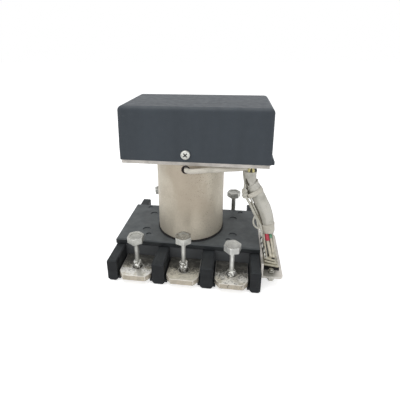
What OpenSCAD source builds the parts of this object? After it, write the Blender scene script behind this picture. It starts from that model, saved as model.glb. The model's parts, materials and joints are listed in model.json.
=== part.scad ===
// Three-pole AC power contactor with a solenoid can, a covered control tray and a cable harness.
// Millimetres, +Z up, front at -Y. The origin is the centre of the base's mounting face.

/* [Base] */
// Width of the moulded base, left to right
base_w = 114; // [113:0.5:118]
// Depth of the base without its barrier ribs
base_d = 60; // [58:1:66]
// Height of the base from its mounting face to the top of the top plate
base_h = 23.1; // [22.9:0.1:25]
// Thickness of the top plate
lid_t = 5; // [4.6:0.2:5.6]
// Thickness of the roof that is left over the carrier's pocket
roof_t = 2; // [1.6:0.1:2.2]
// Thickness of the floor under the terminals
floor_t = 4; // [3.6:0.1:4.2]
// Height of the feet that the ribs form below their ledges
foot_h = 2.1; // [1.6:0.1:2.4]
// Distance between neighbouring poles
pole_pitch = 36; // [35.5:0.25:36.5]
// Thickness of the two inner barrier ribs
rib_t = 9.3; // [8.6:0.1:9.6]
// Reach of the ribs past the base, front and back
rib_out = 21.5; // [20:0.5:24]
// Width of the ledge along the foot of each rib
ledge_w = 2; // [1.8:0.1:2.4]
// Thickness of the front and back walls
wall_t = 3; // [2.5:0.5:4]
// Set-back of these walls under the edge of the top plate
wall_inset = 1.5; // [1:0.25:2]
// Chamfer along the moulded edges
mould_chamfer = 0.8; // [0.4:0.2:1.2]
// Chamfer along the sides of the ribs' feet
foot_chamfer = 2.2; // [1.2:0.1:2.4]

/* [Marks in the top plate] */
// Radius of the large round recesses over the outer poles
mark_r = 3.2; // [2.5:0.1:3.6]
// Depth of the round recesses
mark_depth = 0.6; // [0.4:0.1:1]
// Distance of the large recesses in front of and behind the middle
mark_y = 13.2; // [12:0.2:15]
// Radius of the small recesses near the corners
small_mark_r = 2.1; // [1.5:0.1:2.6]
// Distance of the front small recesses from the middle, sideways
small_mark_x = 32.4; // [31:0.2:34]
// Distance of the front small recesses in front of the middle
small_mark_y = 20.5; // [19.5:0.25:21.5]

/* [Base screws] */
// Radius of the screws that hold the block to the top plate
base_screw_r = 1.6; // [1.4:0.1:1.8]
// Radius of their heads
base_head_r = 2.9; // [2.6:0.1:3.2]
// Height of their heads
base_head_h = 2; // [1.6:0.1:2.4]
// Depth of the heads below the mounting face
base_head_set = 0.6; // [0.4:0.1:0.8]
// Distance of the screws in front of and behind the middle
base_screw_y = 21; // [20:0.5:23]
// Length of thread in the top plate
base_grip = 3; // [2.5:0.1:3.4]

/* [Terminals] */
// Width of a terminal bar
pad_w = 24.4; // [24:0.2:25.2]
// Thickness of a terminal bar
pad_t = 4.5; // [4:0.1:4.8]
// Reach of a terminal bar past the base
pad_out = 24.25; // [23.5:0.25:26]
// Width that each front corner chamfer takes off
pad_chamfer_x = 3.6; // [2:0.2:4.4]
// Length that each front corner chamfer takes off
pad_chamfer_y = 5; // [4:0.2:7]
// Distance of a terminal bar's inner end from the middle
pad_inner_y = 7; // [6:0.5:7.5]
// Distance of the bolts from the middle
bolt_y = 42.6; // [42:0.2:43.4]

/* [Terminal bolts] */
// Width of the hexagon head across its flats
bolt_af = 11.11; // [10:0.1:12]
// Height of the hexagon head
bolt_head_h = 4.7; // [4:0.1:5.2]
// Radius of the dish in the top of the head
dish_r = 4; // [3:0.25:4.4]
// Depth of the dish
dish_depth = 0.5; // [0.3:0.1:0.8]
// Radius of the thinned shank of a front bolt
neck_r = 1.7; // [1.5:0.1:2.2]
// Radius of the thinned shank of a rear bolt
load_neck_r = 1.95; // [1.5:0.05:2.2]
// Length of the thinned shank
neck_h = 17.6; // [17:0.1:18.4]
// Radius of the threaded end
thread_r = 3.175; // [2.8:0.025:3.4]
// Distance between neighbouring ridges of the thread
thread_pitch = 1.1; // [1:0.05:1.2]
// Depth of the thread
thread_depth = 0.4; // [0.3:0.05:0.5]
// Number of ridges of the thread
thread_ridges = 8; // [7:1:8]
// Chamfer at the tip of the threaded end
thread_chamfer = 0.6; // [0.4:0.1:0.8]
// Chamfer around the threaded hole in a terminal
hole_chamfer = 0.8; // [0.4:0.1:1]
// Radius of the round seat under a terminal
seat_r = 8; // [7:0.25:10]
// Height of that seat
seat_h = 0.5; // [0.3:0.1:0.8]
// Height of the front left bolt's head above its terminal
raise_line_1 = 22.5; // [22:0.1:23]
// Height of the front middle bolt's head above its terminal
raise_line_2 = 25.2; // [24.5:0.1:25.8]
// Height of the front right bolt's head above its terminal
raise_line_3 = 21; // [21:0.1:22]
// Height of each rear bolt's head above its terminal
raise_load = 22.5; // [22:0.1:23]

/* [Contacts] */
// Radius of a contact tip
tip_r = 4.5; // [3.5:0.25:5]
// Height of a contact tip
tip_h = 1; // [0.8:0.1:1.2]
// Distance of the tips from the middle
tip_y = 12; // [11.8:0.2:13]
// Opening between the tips
contact_gap = 2.3; // [2:0.1:2.5]
// Travel of the armature
travel = 3; // [2.5:0.1:3.1]
// Width of a moving bridge
bridge_w = 14; // [10:0.5:16]
// Thickness of a moving bridge
bridge_t = 1.6; // [1.2:0.1:1.8]
// Length of a bridge past the middle of its tips
bridge_end = 5.4; // [5.1:0.1:6]
// Radius of the pin that carries a bridge
post_r = 1.9; // [1.6:0.1:2]
// Radius of the pin's head
post_head_r = 3.4; // [3:0.1:3.8]
// Height of the pin's head
post_head_h = 1; // [0.8:0.1:1.2]
// Length of pin in the carrier
post_grip = 1.2; // [0.9:0.1:1.3]
// Radius of a contact spring's wire
contact_wire_r = 0.32; // [0.25:0.01:0.36]
// Radius of a contact spring to the middle of its wire
contact_coil_r = 3.2; // [3:0.1:3.6]
// Turns of a contact spring
contact_turns = 3; // [2:0.5:3]

/* [Carrier] */
// Thickness of the moving crossbar
bar_t = 2.4; // [2:0.1:2.6]
// Width of the moving crossbar
bar_w = 10; // [9:0.5:12]
// Length of the crossbar past the outer poles
bar_end = 5.5; // [5:0.5:6.5]
// Radius of the boss that grips the shaft
boss_r = 5.5; // [5:0.25:5.8]
// Distance of the boss's top below the top plate's upper face
boss_drop = 0.3; // [0.2:0.05:0.4]

/* [Solenoid] */
// Outer radius of the can
can_r = 27; // [26.5:0.25:28]
// Height of the can
can_h = 63.2; // [60:0.5:68]
// Wall of the can
can_wall = 1.6; // [1.2:0.1:2]
// Thickness of the can's bottom
can_floor_t = 2; // [1.6:0.1:2.4]
// Chamfer around the can's bottom edge
can_chamfer = 0.8; // [0.4:0.1:1]
// Thickness of the gasket under the can
gasket_t = 0.8; // [0.5:0.1:1]
// Reach of the gasket past the can
gasket_out = 0.7; // [0.4:0.1:1]
// Radius of the hole that lets the coil lead out
lead_hole_r = 2.75; // [2.5:0.05:3]
// Depth of that hole's middle below the can's rim
lead_hole_drop = 3.1; // [3.1:0.05:3.6]
// Radius of the fixed core
core_r = 9.4; // [8:0.2:10]
// Height of the fixed core above the can's bottom
core_h = 25.7; // [20:0.5:30]
// Radius of the spigot under the core
spigot_r = 6; // [5:0.25:7]
// Radius of the pocket for the return spring
spring_pocket_r = 5.6; // [5.4:0.1:6.4]
// Depth of the pocket for the return spring
spring_pocket_depth = 8; // [6:0.5:12]
// Radius of the plunger
plunger_r = 9.2; // [8:0.2:9.2]
// Height of the plunger above the flux plate at rest
plunger_up = 2; // [1:0.25:3]
// Air gap that stays between the plunger and the core
air_gap = 0.3; // [0.2:0.05:0.5]
// Radius of the shaft
shaft_r = 3; // [2.5:0.1:3.2]
// Wall of the bobbin's tube
bobbin_wall = 1.2; // [1:0.1:1.6]
// Thickness of the bobbin's flanges
bobbin_flange_t = 2; // [1.5:0.25:3]
// Gap between the bobbin's flanges and the can
bobbin_gap = 0.5; // [0.3:0.1:0.8]
// Depth of the winding below the edge of the flanges
winding_drop = 2.9; // [2:0.25:4]
// Thickness of the flux plate
flux_t = 3; // [2.5:0.25:4]
// Height of the posts between the flux plate and the tray
tray_post_h = 6.9; // [6.5:0.1:8]
// Width of these posts across their flats
tray_post_af = 6; // [5.5:0.25:7]
// Distance of these posts from the can's wall
tray_post_set = 6.4; // [5:0.2:7]
// Radius of a return spring's wire
return_wire_r = 0.4; // [0.3:0.05:0.6]
// Radius of the return spring to the middle of its wire
return_coil_r = 4.4; // [4.2:0.1:4.5]
// Turns of the return spring
return_turns = 5; // [4:0.5:6]

/* [Can screws] */
// Radius of the screws that hold the can
can_screw_r = 1.75; // [1.5:0.05:2]
// Radius of their heads
can_head_r = 3.2; // [2.8:0.1:3.5]
// Height of their heads
can_head_h = 1.5; // [1.2:0.1:1.8]
// Distance of each from the middle, sideways and front to back
can_screw_off = 13; // [12:0.25:14]

/* [Tray] */
// Thickness of the tray's sheet
tray_t = 1.2; // [1:0.1:1.5]
// Height of the tray's folded sides
tray_side_h = 13; // [12:0.5:16]
// Strip of the tray that shows below the cover
tray_reveal = 2.9; // [2:0.1:3.5]
// Place of the cable hole, left to right
cable_x = 48; // [47:0.5:49]
// Place of the cable hole, front to back
cable_y = -14.5; // [-16:0.5:-13]
// Radius of the cable hole
cable_hole_r = 4.3; // [4:0.1:4.6]
// Radius of the hole in the grommet
grommet_r = 3.5; // [3.4:0.1:3.7]
// Thickness of each lip of the grommet
grommet_lip_t = 0.8; // [0.6:0.1:1]
// Reach of each lip past the cable hole
grommet_lip_out = 1.1; // [0.8:0.1:1.4]
// Radius of the tray's screws
tray_screw_r = 1.25; // [1.1:0.05:1.4]
// Radius of their heads
tray_head_r = 2.6; // [2.2:0.1:2.8]
// Height of their heads
tray_head_h = 1.8; // [1.5:0.1:2]
// Length of thread in a post
tray_grip = 4.5; // [3.5:0.25:5]

/* [Cover] */
// Width of the cover
cover_w = 109.5; // [108:0.5:114]
// Depth of the cover
cover_d = 62; // [60:0.5:66]
// Height of the cover
cover_h = 39.6; // [38:0.2:44]
// Sheet thickness of the cover
cover_t = 0.8; // [0.8:0.1:1]
// Radius of the cover's rounded upper edges
cover_edge_r = 3.6; // [3:0.1:4.5]
// Radius of its upright edges at their lower end
cover_corner_r = 1.2; // [1.1:0.1:3]
// Place of the cover's middle, left to right
cover_x = 5.75; // [5.5:0.25:6]
// Place of the cover's middle, front to back
cover_y = 3.5; // [3:0.25:4]
// Height of the lip that is splayed out along the right end
splay_h = 5.8; // [4.6:0.2:6.6]
// Height of the lip's outer edge
splay_edge = 2.6; // [1.6:0.2:3.6]
// Reach of the splayed lip
splay_out = 2; // [1:0.2:2.5]
// Height of the cover's screws above its lower edge
cover_screw_up = 5.7; // [5:0.1:6.5]
// Radius of the cover's screws
cover_screw_r = 1.5; // [1.3:0.1:1.8]
// Radius of their heads
cover_head_r = 3.5; // [3:0.1:4]
// Height of their heads
cover_head_h = 1.9; // [1.5:0.1:2.4]
// Length of their shanks
cover_shank = 4; // [3:0.25:6]
// Length of each arm pair of the cross in their heads
cross_l = 3.8; // [3:0.1:4]
// Width of an arm of the cross
cross_w = 0.8; // [0.6:0.1:1]
// Depth of the cross
cross_depth = 1.1; // [0.8:0.1:1.2]

/* [Auxiliary switch] */
// Radius of the disc that works the switch
disc_r = 9; // [8:0.25:10]
// Thickness of that disc
disc_t = 2; // [1.6:0.1:2.4]
// Wall of the disc's hub around the shaft
hub_wall = 1.5; // [1:0.1:2]
// Height of the hub below the disc
hub_h = 1; // [0.6:0.1:1.4]
// Height of the disc's top above the tray's floor at rest
disc_up = 9.15; // [8.5:0.05:10]
// Length of the shaft above the disc
shaft_up = 2.2; // [1.5:0.1:2.5]
// Length of the switch
switch_l = 20; // [19.5:0.25:21]
// Width of the switch
switch_w = 6.4; // [6:0.1:7.5]
// Height of the switch
switch_h = 10; // [9:0.25:11]
// Distance from the shaft's axis to the near end of the switch
switch_off = 6; // [5.5:0.25:6.5]
// Distance of the lever's pin from the far end of the switch
pin_in = 1.5; // [1.3:0.1:2]
// Radius of the lever's pin
pin_r = 0.6; // [0.5:0.05:0.7]
// Wall of the lever's eye around the pin
eye_wall = 0.45; // [0.35:0.05:0.5]
// Thickness of the lever
lever_t = 0.4; // [0.3:0.05:0.5]
// Distance of the lever's tip from the shaft's axis
lever_tip = 5.2; // [4.8:0.1:5.6]
// Thickness of each ear beside the lever
ear_t = 1; // [0.8:0.1:1.2]
// Radius of the button
button_r = 1; // [0.8:0.05:1.2]
// Distance of the button from the lever's pin
button_x = 7; // [6.5:0.25:8]
// Length of the button
button_l = 3.6; // [3:0.1:4]
// Sheet thickness of the switch's bracket
stirrup_t = 1.5; // [1.2:0.1:2]
// Width of the bracket's strip
stirrup_w = 12; // [10:0.5:13]
// Distance of the bracket's legs from the middle
stirrup_x = 32.5; // [32:0.5:33]
// Length of the bracket's feet
stirrup_foot = 9; // [8:0.5:9.5]

/* [Circuit board] */
// Thickness of the board
board_t = 1.6; // [1.2:0.1:2]
// Depth of the board
board_d = 50; // [48:1:52]
// Left end of the board
board_x0 = -44; // [-45:0.5:-43]
// Right end of the board
board_x1 = 53.5; // [53:0.25:54.5]
// Height of the spacers under the board
spacer_h = 26.3; // [25.5:0.1:27]
// Width of the spacers across their flats
spacer_af = 5.5; // [5:0.25:6]
// Distance of the spacers from the middle, sideways
spacer_x = 39; // [38.5:0.25:39.5]
// Distance of the spacers from the board's middle, front to back
spacer_y = 21; // [20:0.5:21.5]
// Radius of the spacers' necks through the board
spacer_neck_r = 1.5; // [1.2:0.1:1.7]
// Height of the spacers' heads above the board
spacer_head_h = 1.4; // [1:0.1:1.8]
// Width of the relay on the board
relay_w = 28; // [24:1:30]
// Depth of the relay
relay_d = 14; // [12:0.5:18]
// Height of the relay
relay_h = 9.5; // [8:0.25:10]

/* [Connector bracket] */
// Sheet thickness of the bracket
bracket_t = 1.6; // [1.4:0.05:1.65]
// Length of the bracket, front to back
bracket_l = 57; // [56:0.5:60]
// Reach of its shelf from the side of the base
bracket_out = 16; // [15.5:0.25:17]
// Height of the shelf's upper face
shelf_z = 11.1; // [11:0.1:11.5]
// Height of the bracket's upper edge
bracket_top = 21.4; // [20.6:0.2:22.4]
// Radius of the shelf's corners
shelf_corner_r = 3; // [2:0.25:4]
// Distance of the bracket's screws from the connector's middle
bracket_screw_y = 14; // [12:0.5:16]
// Height of the bracket's screws
bracket_screw_z = 14.4; // [14.2:0.1:15]
// Radius of the bracket's screws
bracket_screw_r = 1.4; // [1.2:0.05:1.5]
// Radius of their countersunk heads
bracket_head_r = 2.7; // [2.4:0.1:3]
// Length of their shanks in the base
bracket_grip = 5; // [4:0.25:5.5]

/* [Connector] */
// Place of the connector, front to back
conn_y = -17; // [-17.5:0.25:-16.5]
// Distance of the connector's middle from the side of the base
conn_x_off = 7.9; // [7.85:0.05:8.1]
// Distance of the connector's screws from the ends of its flange
flange_edge = 2.98; // [2.7:0.04:3.1]
// Length of the connector's flange
flange_l = 53; // [52.6:0.1:54]
// Width of the connector's flange
flange_w = 12.5; // [12:0.1:12.5]
// Thickness of the flange
flange_t = 1.1; // [0.8:0.1:1.2]
// Radius of the flange's corners
flange_corner_r = 2; // [1.5:0.25:3]
// Depth of the shell below the flange
shell_h = 6; // [5:0.1:6.1]
// Distance of the shell's ends from the ends of the flange
shell_edge = 7.3; // [7:0.1:7.5]
// Width of the shell, outside
shell_w = 8; // [7.8:0.1:8.4]
// Wall of the shell
shell_t = 0.5; // [0.4:0.05:0.6]
// Radius of the shell's corners
shell_corner_r = 2.4; // [2:0.1:2.8]
// Slope of the shell's short sides
shell_slope = 10; // [8:1:12]
// Distance of the rear block's ends from the ends of the flange
block_edge = 5.85; // [5.7:0.05:6]
// Width of the rear block
block_w = 11.8; // [11.4:0.1:11.9]
// Height of the rear block above the flange
block_h = 3.2; // [2.8:0.1:3.8]
// Radius of a contact
contact_r = 0.5; // [0.4:0.02:0.55]
// Distance between neighbouring contacts
contact_pitch = 2.76; // [2.74:0.01:2.78]
// Distance between the two rows of contacts
contact_rows = 2.84; // [2.8:0.02:2.9]
// Least distance of a contact from the shell's end wall
contact_edge = 2; // [1.8:0.1:2.1]
// Height of the lower half of the clamp on the rear block
clamp_low_h = 4.2; // [3.8:0.1:4.8]
// Height of the upper half of the clamp
clamp_up_h = 3.6; // [3:0.1:4]
// Width of the upper half of the clamp
clamp_up_w = 8.8; // [8.6:0.1:10]
// Set-back of the upper half from each end of the lower half
clamp_set = 1.2; // [0.8:0.1:2]
// Depth of the grooves around the clamp
clamp_groove = 0.5; // [0.3:0.1:0.8]
// Height of each rib of the clamp
clamp_rib_h = 1.2; // [1:0.1:1.4]
// Radius of the connector's screws
jack_r = 1.4; // [1.2:0.05:1.5]
// Width of the jack posts across their flats
jack_af = 4.5; // [4.2:0.1:5]
// Height of the jack posts
jack_h = 3.5; // [3:0.25:5]
// Width of their nuts across the flats
nut_af = 4.2; // [4:0.1:5.2]
// Height of their nuts
nut_h = 1.9; // [1.6:0.1:2.2]
// Length of screw above a nut
jack_up = 1.2; // [0.6:0.1:1.6]

/* [Harness] */
// Thickness of the ties around the sleeve
tie_t = 0.6; // [0.4:0.1:0.8]
// Width of the ties
tie_w = 2.6; // [2:0.1:3]
// Radius of the trunk of wires above the sleeve
trunk_r = 2.1; // [2:0.05:2.15]
// Radius of one wire of the fan
wire_r = 0.75; // [0.6:0.05:0.75]
// Radius of the red marker sleeve on a wire
red_marker_r = 1.5; // [1.2:0.1:1.5]
// Radius of the green marker sleeve on a wire
green_marker_r = 1; // [0.8:0.1:1.1]
// Length of the marker sleeves
marker_l = 4.4; // [3:0.2:5]
// Radius of the yellow wires beside the trunk
yellow_r = 0.55; // [0.4:0.05:0.6]
// Radius of the coil lead's sleeve
lead_r = 1.9; // [1.7:0.05:2]
// Radius of the lacing's long strand
lace_r = 0.85; // [0.7:0.05:1]

/* [Clearances] */
// Gap between two pieces that stay together, where one sits in the other
press_gap = 0.02; // [0.01:0.01:0.03]
// Gap around a screw's shank in a hole that it passes through
pass_gap = 0.15; // [0.1:0.05:0.3]
// Gap around a sliding or turning shaft
run_gap = 0.1; // [0.06:0.01:0.1]
// Gap around the plunger and the fixed core in the bobbin
bore_gap = 0.2; // [0.15:0.05:0.3]
// Gap between moving faces that meet at a stop
seat_gap = 0.05; // [0.03:0.01:0.06]
// Gap around the coil lead in the flux plate
lead_gap = 0.6; // [0.5:0.05:0.8]
// Gap around the carrier in its pocket and in the ribs' notches
pocket_gap = 1; // [0.8:0.1:1.2]
// Gap that the carrier keeps from a wall at either end of its travel
stop_gap = 0.2; // [0.15:0.05:0.3]
// Gap between the tray's sides and the cover
tray_gap = 0.2; // [0.15:0.05:0.3]
// Gap around a terminal bar in its slot
slot_gap = 0.1; // [0.05:0.05:0.2]
// Gap around a terminal bolt in its terminal
bolt_gap = 0.075; // [0.05:0.005:0.1]

/* [Hidden] */
$fn = 48;

// A cut reaches this far past the face that it opens
over = 0.5;
// Two shapes of one solid reach this far into each other
tuck = 0.2;
// Length of the level stretch at the end of a wire or sleeve
end_step = 0.4;
hull_fn = 32;
// Turn of the crosses in the cover's screws
cross_turn = 20;
tube_sides = 8;
thin_sides = 6;

// Plan of the base
pole_x = [-pole_pitch, 0, pole_pitch];
bay_w = pole_pitch - rib_t;
outer_rib_t = base_w / 2 - pole_pitch - bay_w / 2;
rib_end = base_d / 2 + rib_out;
wall_y1 = base_d / 2 - wall_inset;
wall_y0 = wall_y1 - wall_t;
pad_end = base_d / 2 + pad_out;
outer_rib_x = base_w / 2 - outer_rib_t / 2;
rib_x = [-outer_rib_x, -pole_pitch / 2, pole_pitch / 2, outer_rib_x];
rib_ts = [outer_rib_t, rib_t, rib_t, outer_rib_t];

// Heights inside the base
rib_z = base_h - lid_t;
thread_h = thread_ridges * thread_pitch + 2 * thread_chamfer;
roof_z = base_h - roof_t;
pad_z = floor_t + pad_t;
bridge_z0 = pad_z + 2 * tip_h + contact_gap;
bridge_z1 = bridge_z0 + bridge_t;
bar_z1 = roof_z - stop_gap;
bar_z0 = bar_z1 - bar_t;
post_z1 = bar_z0 + post_grip;
shaft_z0 = post_z1 + stop_gap;
boss_z1 = base_h - boss_drop;

// Heights of the solenoid
can_z0 = base_h + gasket_t;
can_z1 = can_z0 + can_h;
cup_z = can_z0 + can_floor_t;
can_in_r = can_r - can_wall;
flux_z1 = can_z1 - tray_post_h;
flux_z0 = flux_z1 - flux_t;
core_z1 = cup_z + core_h;
plunger_z0 = core_z1 + travel + air_gap;
plunger_z1 = flux_z1 + plunger_up;
tube_r = max(core_r, plunger_r + bore_gap) + bore_gap;
flange_r = can_in_r - bobbin_gap;
tray_post_r = can_in_r - tray_post_set;
tray_post_angles = [90, 210, 330];
hex_k = 1 / cos(30);

// Heights of the tray, the cover and what they hold
tray_z0 = can_z1;
tray_z1 = tray_z0 + tray_t;
cover_z0 = tray_z0 + tray_reveal;
cover_z1 = cover_z0 + cover_h;
cover_screw_z = cover_z0 + cover_screw_up;
tray_w = cover_w - 2 * (cover_t + tray_gap);
tray_d = cover_d - 2 * (cover_t + tray_gap);
tray_corner_r = cover_corner_r - cover_t - tray_gap;
disc_z1 = tray_z1 + disc_up;
shaft_z1 = disc_z1 + shaft_up;
lever_z0 = disc_z1 + 3 * seat_gap;
eye_r = pin_r + run_gap / 2 + eye_wall;
pin_x = -switch_off - switch_l + pin_in;
pin_z = lever_z0 + lever_t / 2 + tuck / 2;
switch_z0 = pin_z + eye_r + 2 * seat_gap;
switch_z1 = switch_z0 + switch_h;
board_z0 = tray_z1 + spacer_h;
board_z1 = board_z0 + board_t;

// Places of the connector
side_x = base_w / 2;
leg_x1 = side_x + bracket_t;
conn_x = side_x + conn_x_off;
conn_pitch = flange_l - 2 * flange_edge;
shell_l = flange_l - 2 * shell_edge;
block_l = flange_l - 2 * block_edge;
clamp_up_l = block_l - 2 * clamp_set;
// Number of contacts in the longer row
contact_count = floor((shell_l - 2 * (shell_t + contact_edge)) / contact_pitch) + 1;
shelf_z0 = shelf_z - bracket_t;
flange_z0 = shelf_z0 - flange_t;
block_z1 = shelf_z0 + block_h;
clamp_mid_z = block_z1 + clamp_low_h;
clamp_z1 = clamp_mid_z + clamp_up_h;

// Height on the harness, from the clamp up. The routes are drawn for this span from clamp to tray.
route_span = 66.6;
function up(h) = clamp_z1 + h * (tray_z0 - clamp_z1) / route_span;

// Route of the harness sleeve from the tray to the connector, with its radius at each point
sleeve_route = [
    [47.4, -14.2, up(59.9), 4.9], [47.6, -14, up(56.5), 4.4], [48.2, -14, up(52.1), 3.9],
    [49.6, -14, up(48.3), 3.9], [50.3, -14, up(46.8), 4.6], [51.7, -14.1, up(44.5), 4.8],
    [54, -14.4, up(40.1), 5], [57, -15, up(34.5), 5], [59.6, -15.8, up(29.1), 5],
    [61.3, -16.3, up(23.9), 4.9], [62.4, -16.8, up(18.5), 4.7], [62.8, -17, up(15.7), 4.4],
    [63, -17, up(13.9), 4.5], [63.3, -17, up(10.5), 4.3],
];
sleeve_z1 = up(59.9) + end_step;
sleeve_z0 = up(10.5) - end_step;
// Ring numbers of the sleeve that the ties go around
tie_rings = [5, 10, 22];
// Route of the coil lead, out of the can and along under the tray to the sleeve
lead_route = [
    [0, -16.5, flux_z0 + end_step + seat_gap], [0, -16.6, flux_z1 + 0.3], [0, -20, tray_z0 - 3.9],
    [0.3, -25, tray_z0 - 3.3], [1.2, -28.8, tray_z0 - 3.2], [4.8, -30.2, tray_z0 - 3],
    [11, -28.9, tray_z0 - 2.8],
    [20, -26.2, tray_z0 - 2.8], [30, -22.4, tray_z0 - 3.2], [38, -18.6, tray_z0 - 3.9],
    [42.5, -16.4, tray_z0 - 3.9], [44.7, -15.3, sleeve_z1 + 1.6],
    [45, -15.2, sleeve_z1 + end_step + seat_gap],
];
// Route of the trunk from the board through the tray to the sleeve
trunk_route = [
    [48, -14.5, board_z0 - end_step - seat_gap], [48, -14.5, tray_z1 + 12], [48, -14.5, tray_z0 - 0.9],
    [48.6, -13.9, sleeve_z1 + 2.2], [49, -13.8, sleeve_z1 + end_step + seat_gap],
];
// Places of the yellow wires beside the trunk
yellow_places = [[-0.8, -2.78], [0.8, -2.78]];
// Start and end of each wire of the fan, about the sleeve's end and about the connector's middle.
// The ends are drawn for this length of the clamp's upper half.
fan_span = 38.9;
fan_wires = [
    [-0.2, -2.3, -0.6, -18.4], [2.2, -1.3, 2.8, -17.6],
    [-2.5, -1.4, -3.2, -16.6], [0.5, 0.1, 1, -15], [-1.1, 0.1, -1.4, -13.4], [2.4, 0.6, 3, -12.2],
    [-2.8, 0.3, -3.2, -9.6], [1.1, 1.5, 1.6, -7.4], [-0.5, 1.5, -0.8, -3.6], [-2, 1.7, -2.8, 2.6],
    [0.3, 2.7, 1.4, 8.4], [-1.2, 2.7, -1.6, 13.4],
];
// Radii of the marker sleeves on the first wires of the fan
marker_rs = [red_marker_r, green_marker_r];
// Steps of a wire between its straight ends
fan_steps = 7;
// Radii of the short strand and of the loop
thin_r = 0.8 * lace_r;
loop_r = lace_r / 2;
// Routes of the lacing beside the sleeve: long strand with its knot, short strand and loose loop
long_lace = [
    [45.6, -19.4, up(48.9), 0.7], [43, -19.4, up(47.7), 1.2], [42.4, -19.4, up(44.9), 1.9],
    [42.8, -19.4, up(41.9), 1.9], [44.8, -19.5, up(39.7), 1], [46.8, -19.8, up(36.5), lace_r],
    [49.3, -20.3, up(31.5), lace_r], [52.4, -20.9, up(25.2), lace_r], [55.2, -21.4, up(20.3), lace_r],
    [57.9, -22, up(12.5), lace_r], [58.9, -22.3, up(5.5), lace_r], [59.4, -22.6, up(1), lace_r],
];
short_lace = [
    [47.8, -18.3, up(39.7), thin_r], [50.1, -18.7, up(34), thin_r], [52.2, -19, up(29.8), thin_r],
    [54.7, -19.5, up(24.8), thin_r], [56.9, -20.2, up(19.4), thin_r], [57.9, -20.5, up(15.2), thin_r],
];
loop_lace = [
    [51.6, -21.6, up(26.7), loop_r], [50.4, -23.2, up(24.9), loop_r],
    [50.4, -24.2, up(21.7), loop_r], [51.8, -24.4, up(18.1), loop_r],
    [54.2, -24, up(16.4), loop_r], [56.4, -22.2, up(16.7), loop_r],
];

// Outline with each corner of a list of points rounded to radius r
function unit(v) = v / norm(v);
function turn(a) = a > 180 ? a - 360 : a < -180 ? a + 360 : a;
function corner(a, b, c, r, n) =
    let (u = unit(a - b), w = unit(c - b), half = acos(u * w) / 2)
    let (m = b + unit(u + w) * r / sin(half), p = b + u * r / tan(half), q = b + w * r / tan(half))
    let (a0 = atan2(p.y - m.y, p.x - m.x), sweep = turn(atan2(q.y - m.y, q.x - m.x) - a0))
    [for (i = [0:n]) m + r * [cos(a0 + sweep * i / n), sin(a0 + sweep * i / n)]];
function rounded(pts, r, n = 6) =
    let (k = len(pts))
    [for (i = [0:k - 1]) each corner(pts[(i + k - 1) % k], pts[i], pts[(i + 1) % k], r, n)];
function box_points(w, d) = [[-w / 2, -d / 2], [w / 2, -d / 2], [w / 2, d / 2], [-w / 2, d / 2]];
function chamfered(w, h, c, foot) = [[-w / 2 + foot, 0], [w / 2 - foot, 0], [w / 2, foot], [w / 2, h - c],
    [w / 2 - c, h], [-w / 2 + c, h], [-w / 2, h - c], [-w / 2, foot]];

// Smooth curve through a route's points, with n steps between two of them
function blend(a, b, c, d, t) = 0.5 * (2 * b + (c - a) * t + (2 * a - 5 * b + 4 * c - d) * t * t
    + (3 * b - a - 3 * c + d) * t * t * t);
function smooth(pts, n) =
    let (k = len(pts) - 1)
    [for (i = [0:k - 1], j = [0:n - 1])
        blend(pts[max(i - 1, 0)], pts[i], pts[i + 1], pts[min(i + 2, k)], j / n), pts[k]];
function heading(path, i) =
    unit(path[min(i + 1, len(path) - 1)] - path[max(i - 1, 0)]);
function helix(r, h, turns, steps) =
    [for (i = [0:turns * steps])
        [r * cos(360 * i / steps), r * sin(360 * i / steps), h * i / (turns * steps)]];
function places(route) = [for (p = route) [p[0], p[1], p[2]]];
function radii(route) = [for (p = route) p[3]];
// Path or list with its first and last item doubled, the doubles of a path moved up by dz0 and dz1
function levelled(path, dz0, dz1) =
    let (n = len(path) - 1)
    concat([path[0] + [0, 0, dz0]], path, [path[n] + [0, 0, dz1]]);
function doubled(list) = concat([list[0]], list, [list[len(list) - 1]]);

// Round tube along a path, with one radius for each ring. side is never parallel to the path.
module tube(path, radii, side, sides = tube_sides) {
    rings = len(path);
    points = [for (i = [0:rings - 1])
        let (t = heading(path, i), u = unit(cross(t, side)), v = cross(t, u))
        for (j = [0:sides - 1])
            path[i] + radii[i] * (cos(360 * j / sides) * u + sin(360 * j / sides) * v)];
    walls = [for (i = [0:rings - 2], j = [0:sides - 1])
        let (k = (j + 1) % sides)
        [i * sides + j, (i + 1) * sides + j, (i + 1) * sides + k, i * sides + k]];
    first = [for (j = [0:sides - 1]) j];
    last = [for (j = [sides - 1:-1:0]) (rings - 1) * sides + j];
    polyhedron(points, concat([first], walls, [last]), convexity = 8);
}

// Tube of constant radius
module wire(path, r, side, sides = tube_sides) {
    tube(path, [for (p = path) r], side, sides);
}

// Straight ring or pin with its foot at z
module rod(r, z, h) {
    translate([0, 0, z]) cylinder(r = r, h = h);
}

// Hexagon of width af across its flats
module hexagon(af, z, h) {
    translate([0, 0, z]) cylinder(r = af / 2 * hex_k, h = h, $fn = 6);
}

// Box with its lower and upper edges chamfered by c, or by foot along the lower side edges
module slab(w, d, h, c, foot = 0) {
    side = max(c, foot);
    intersection() {
        translate([0, d / 2, 0]) rotate([90, 0, 0]) linear_extrude(d) polygon(chamfered(w, h, c, side));
        translate([-w / 2, 0, 0]) rotate([90, 0, 90]) linear_extrude(w) polygon(chamfered(d, h, c, c));
    }
}

// Box between two corners
module block(lo, hi) {
    translate(lo) cube(hi - lo);
}

// Barrier rib that runs from front to back
module rib(t) {
    slab(t, 2 * rib_end, rib_z, mould_chamfer, foot_chamfer);
}

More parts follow.
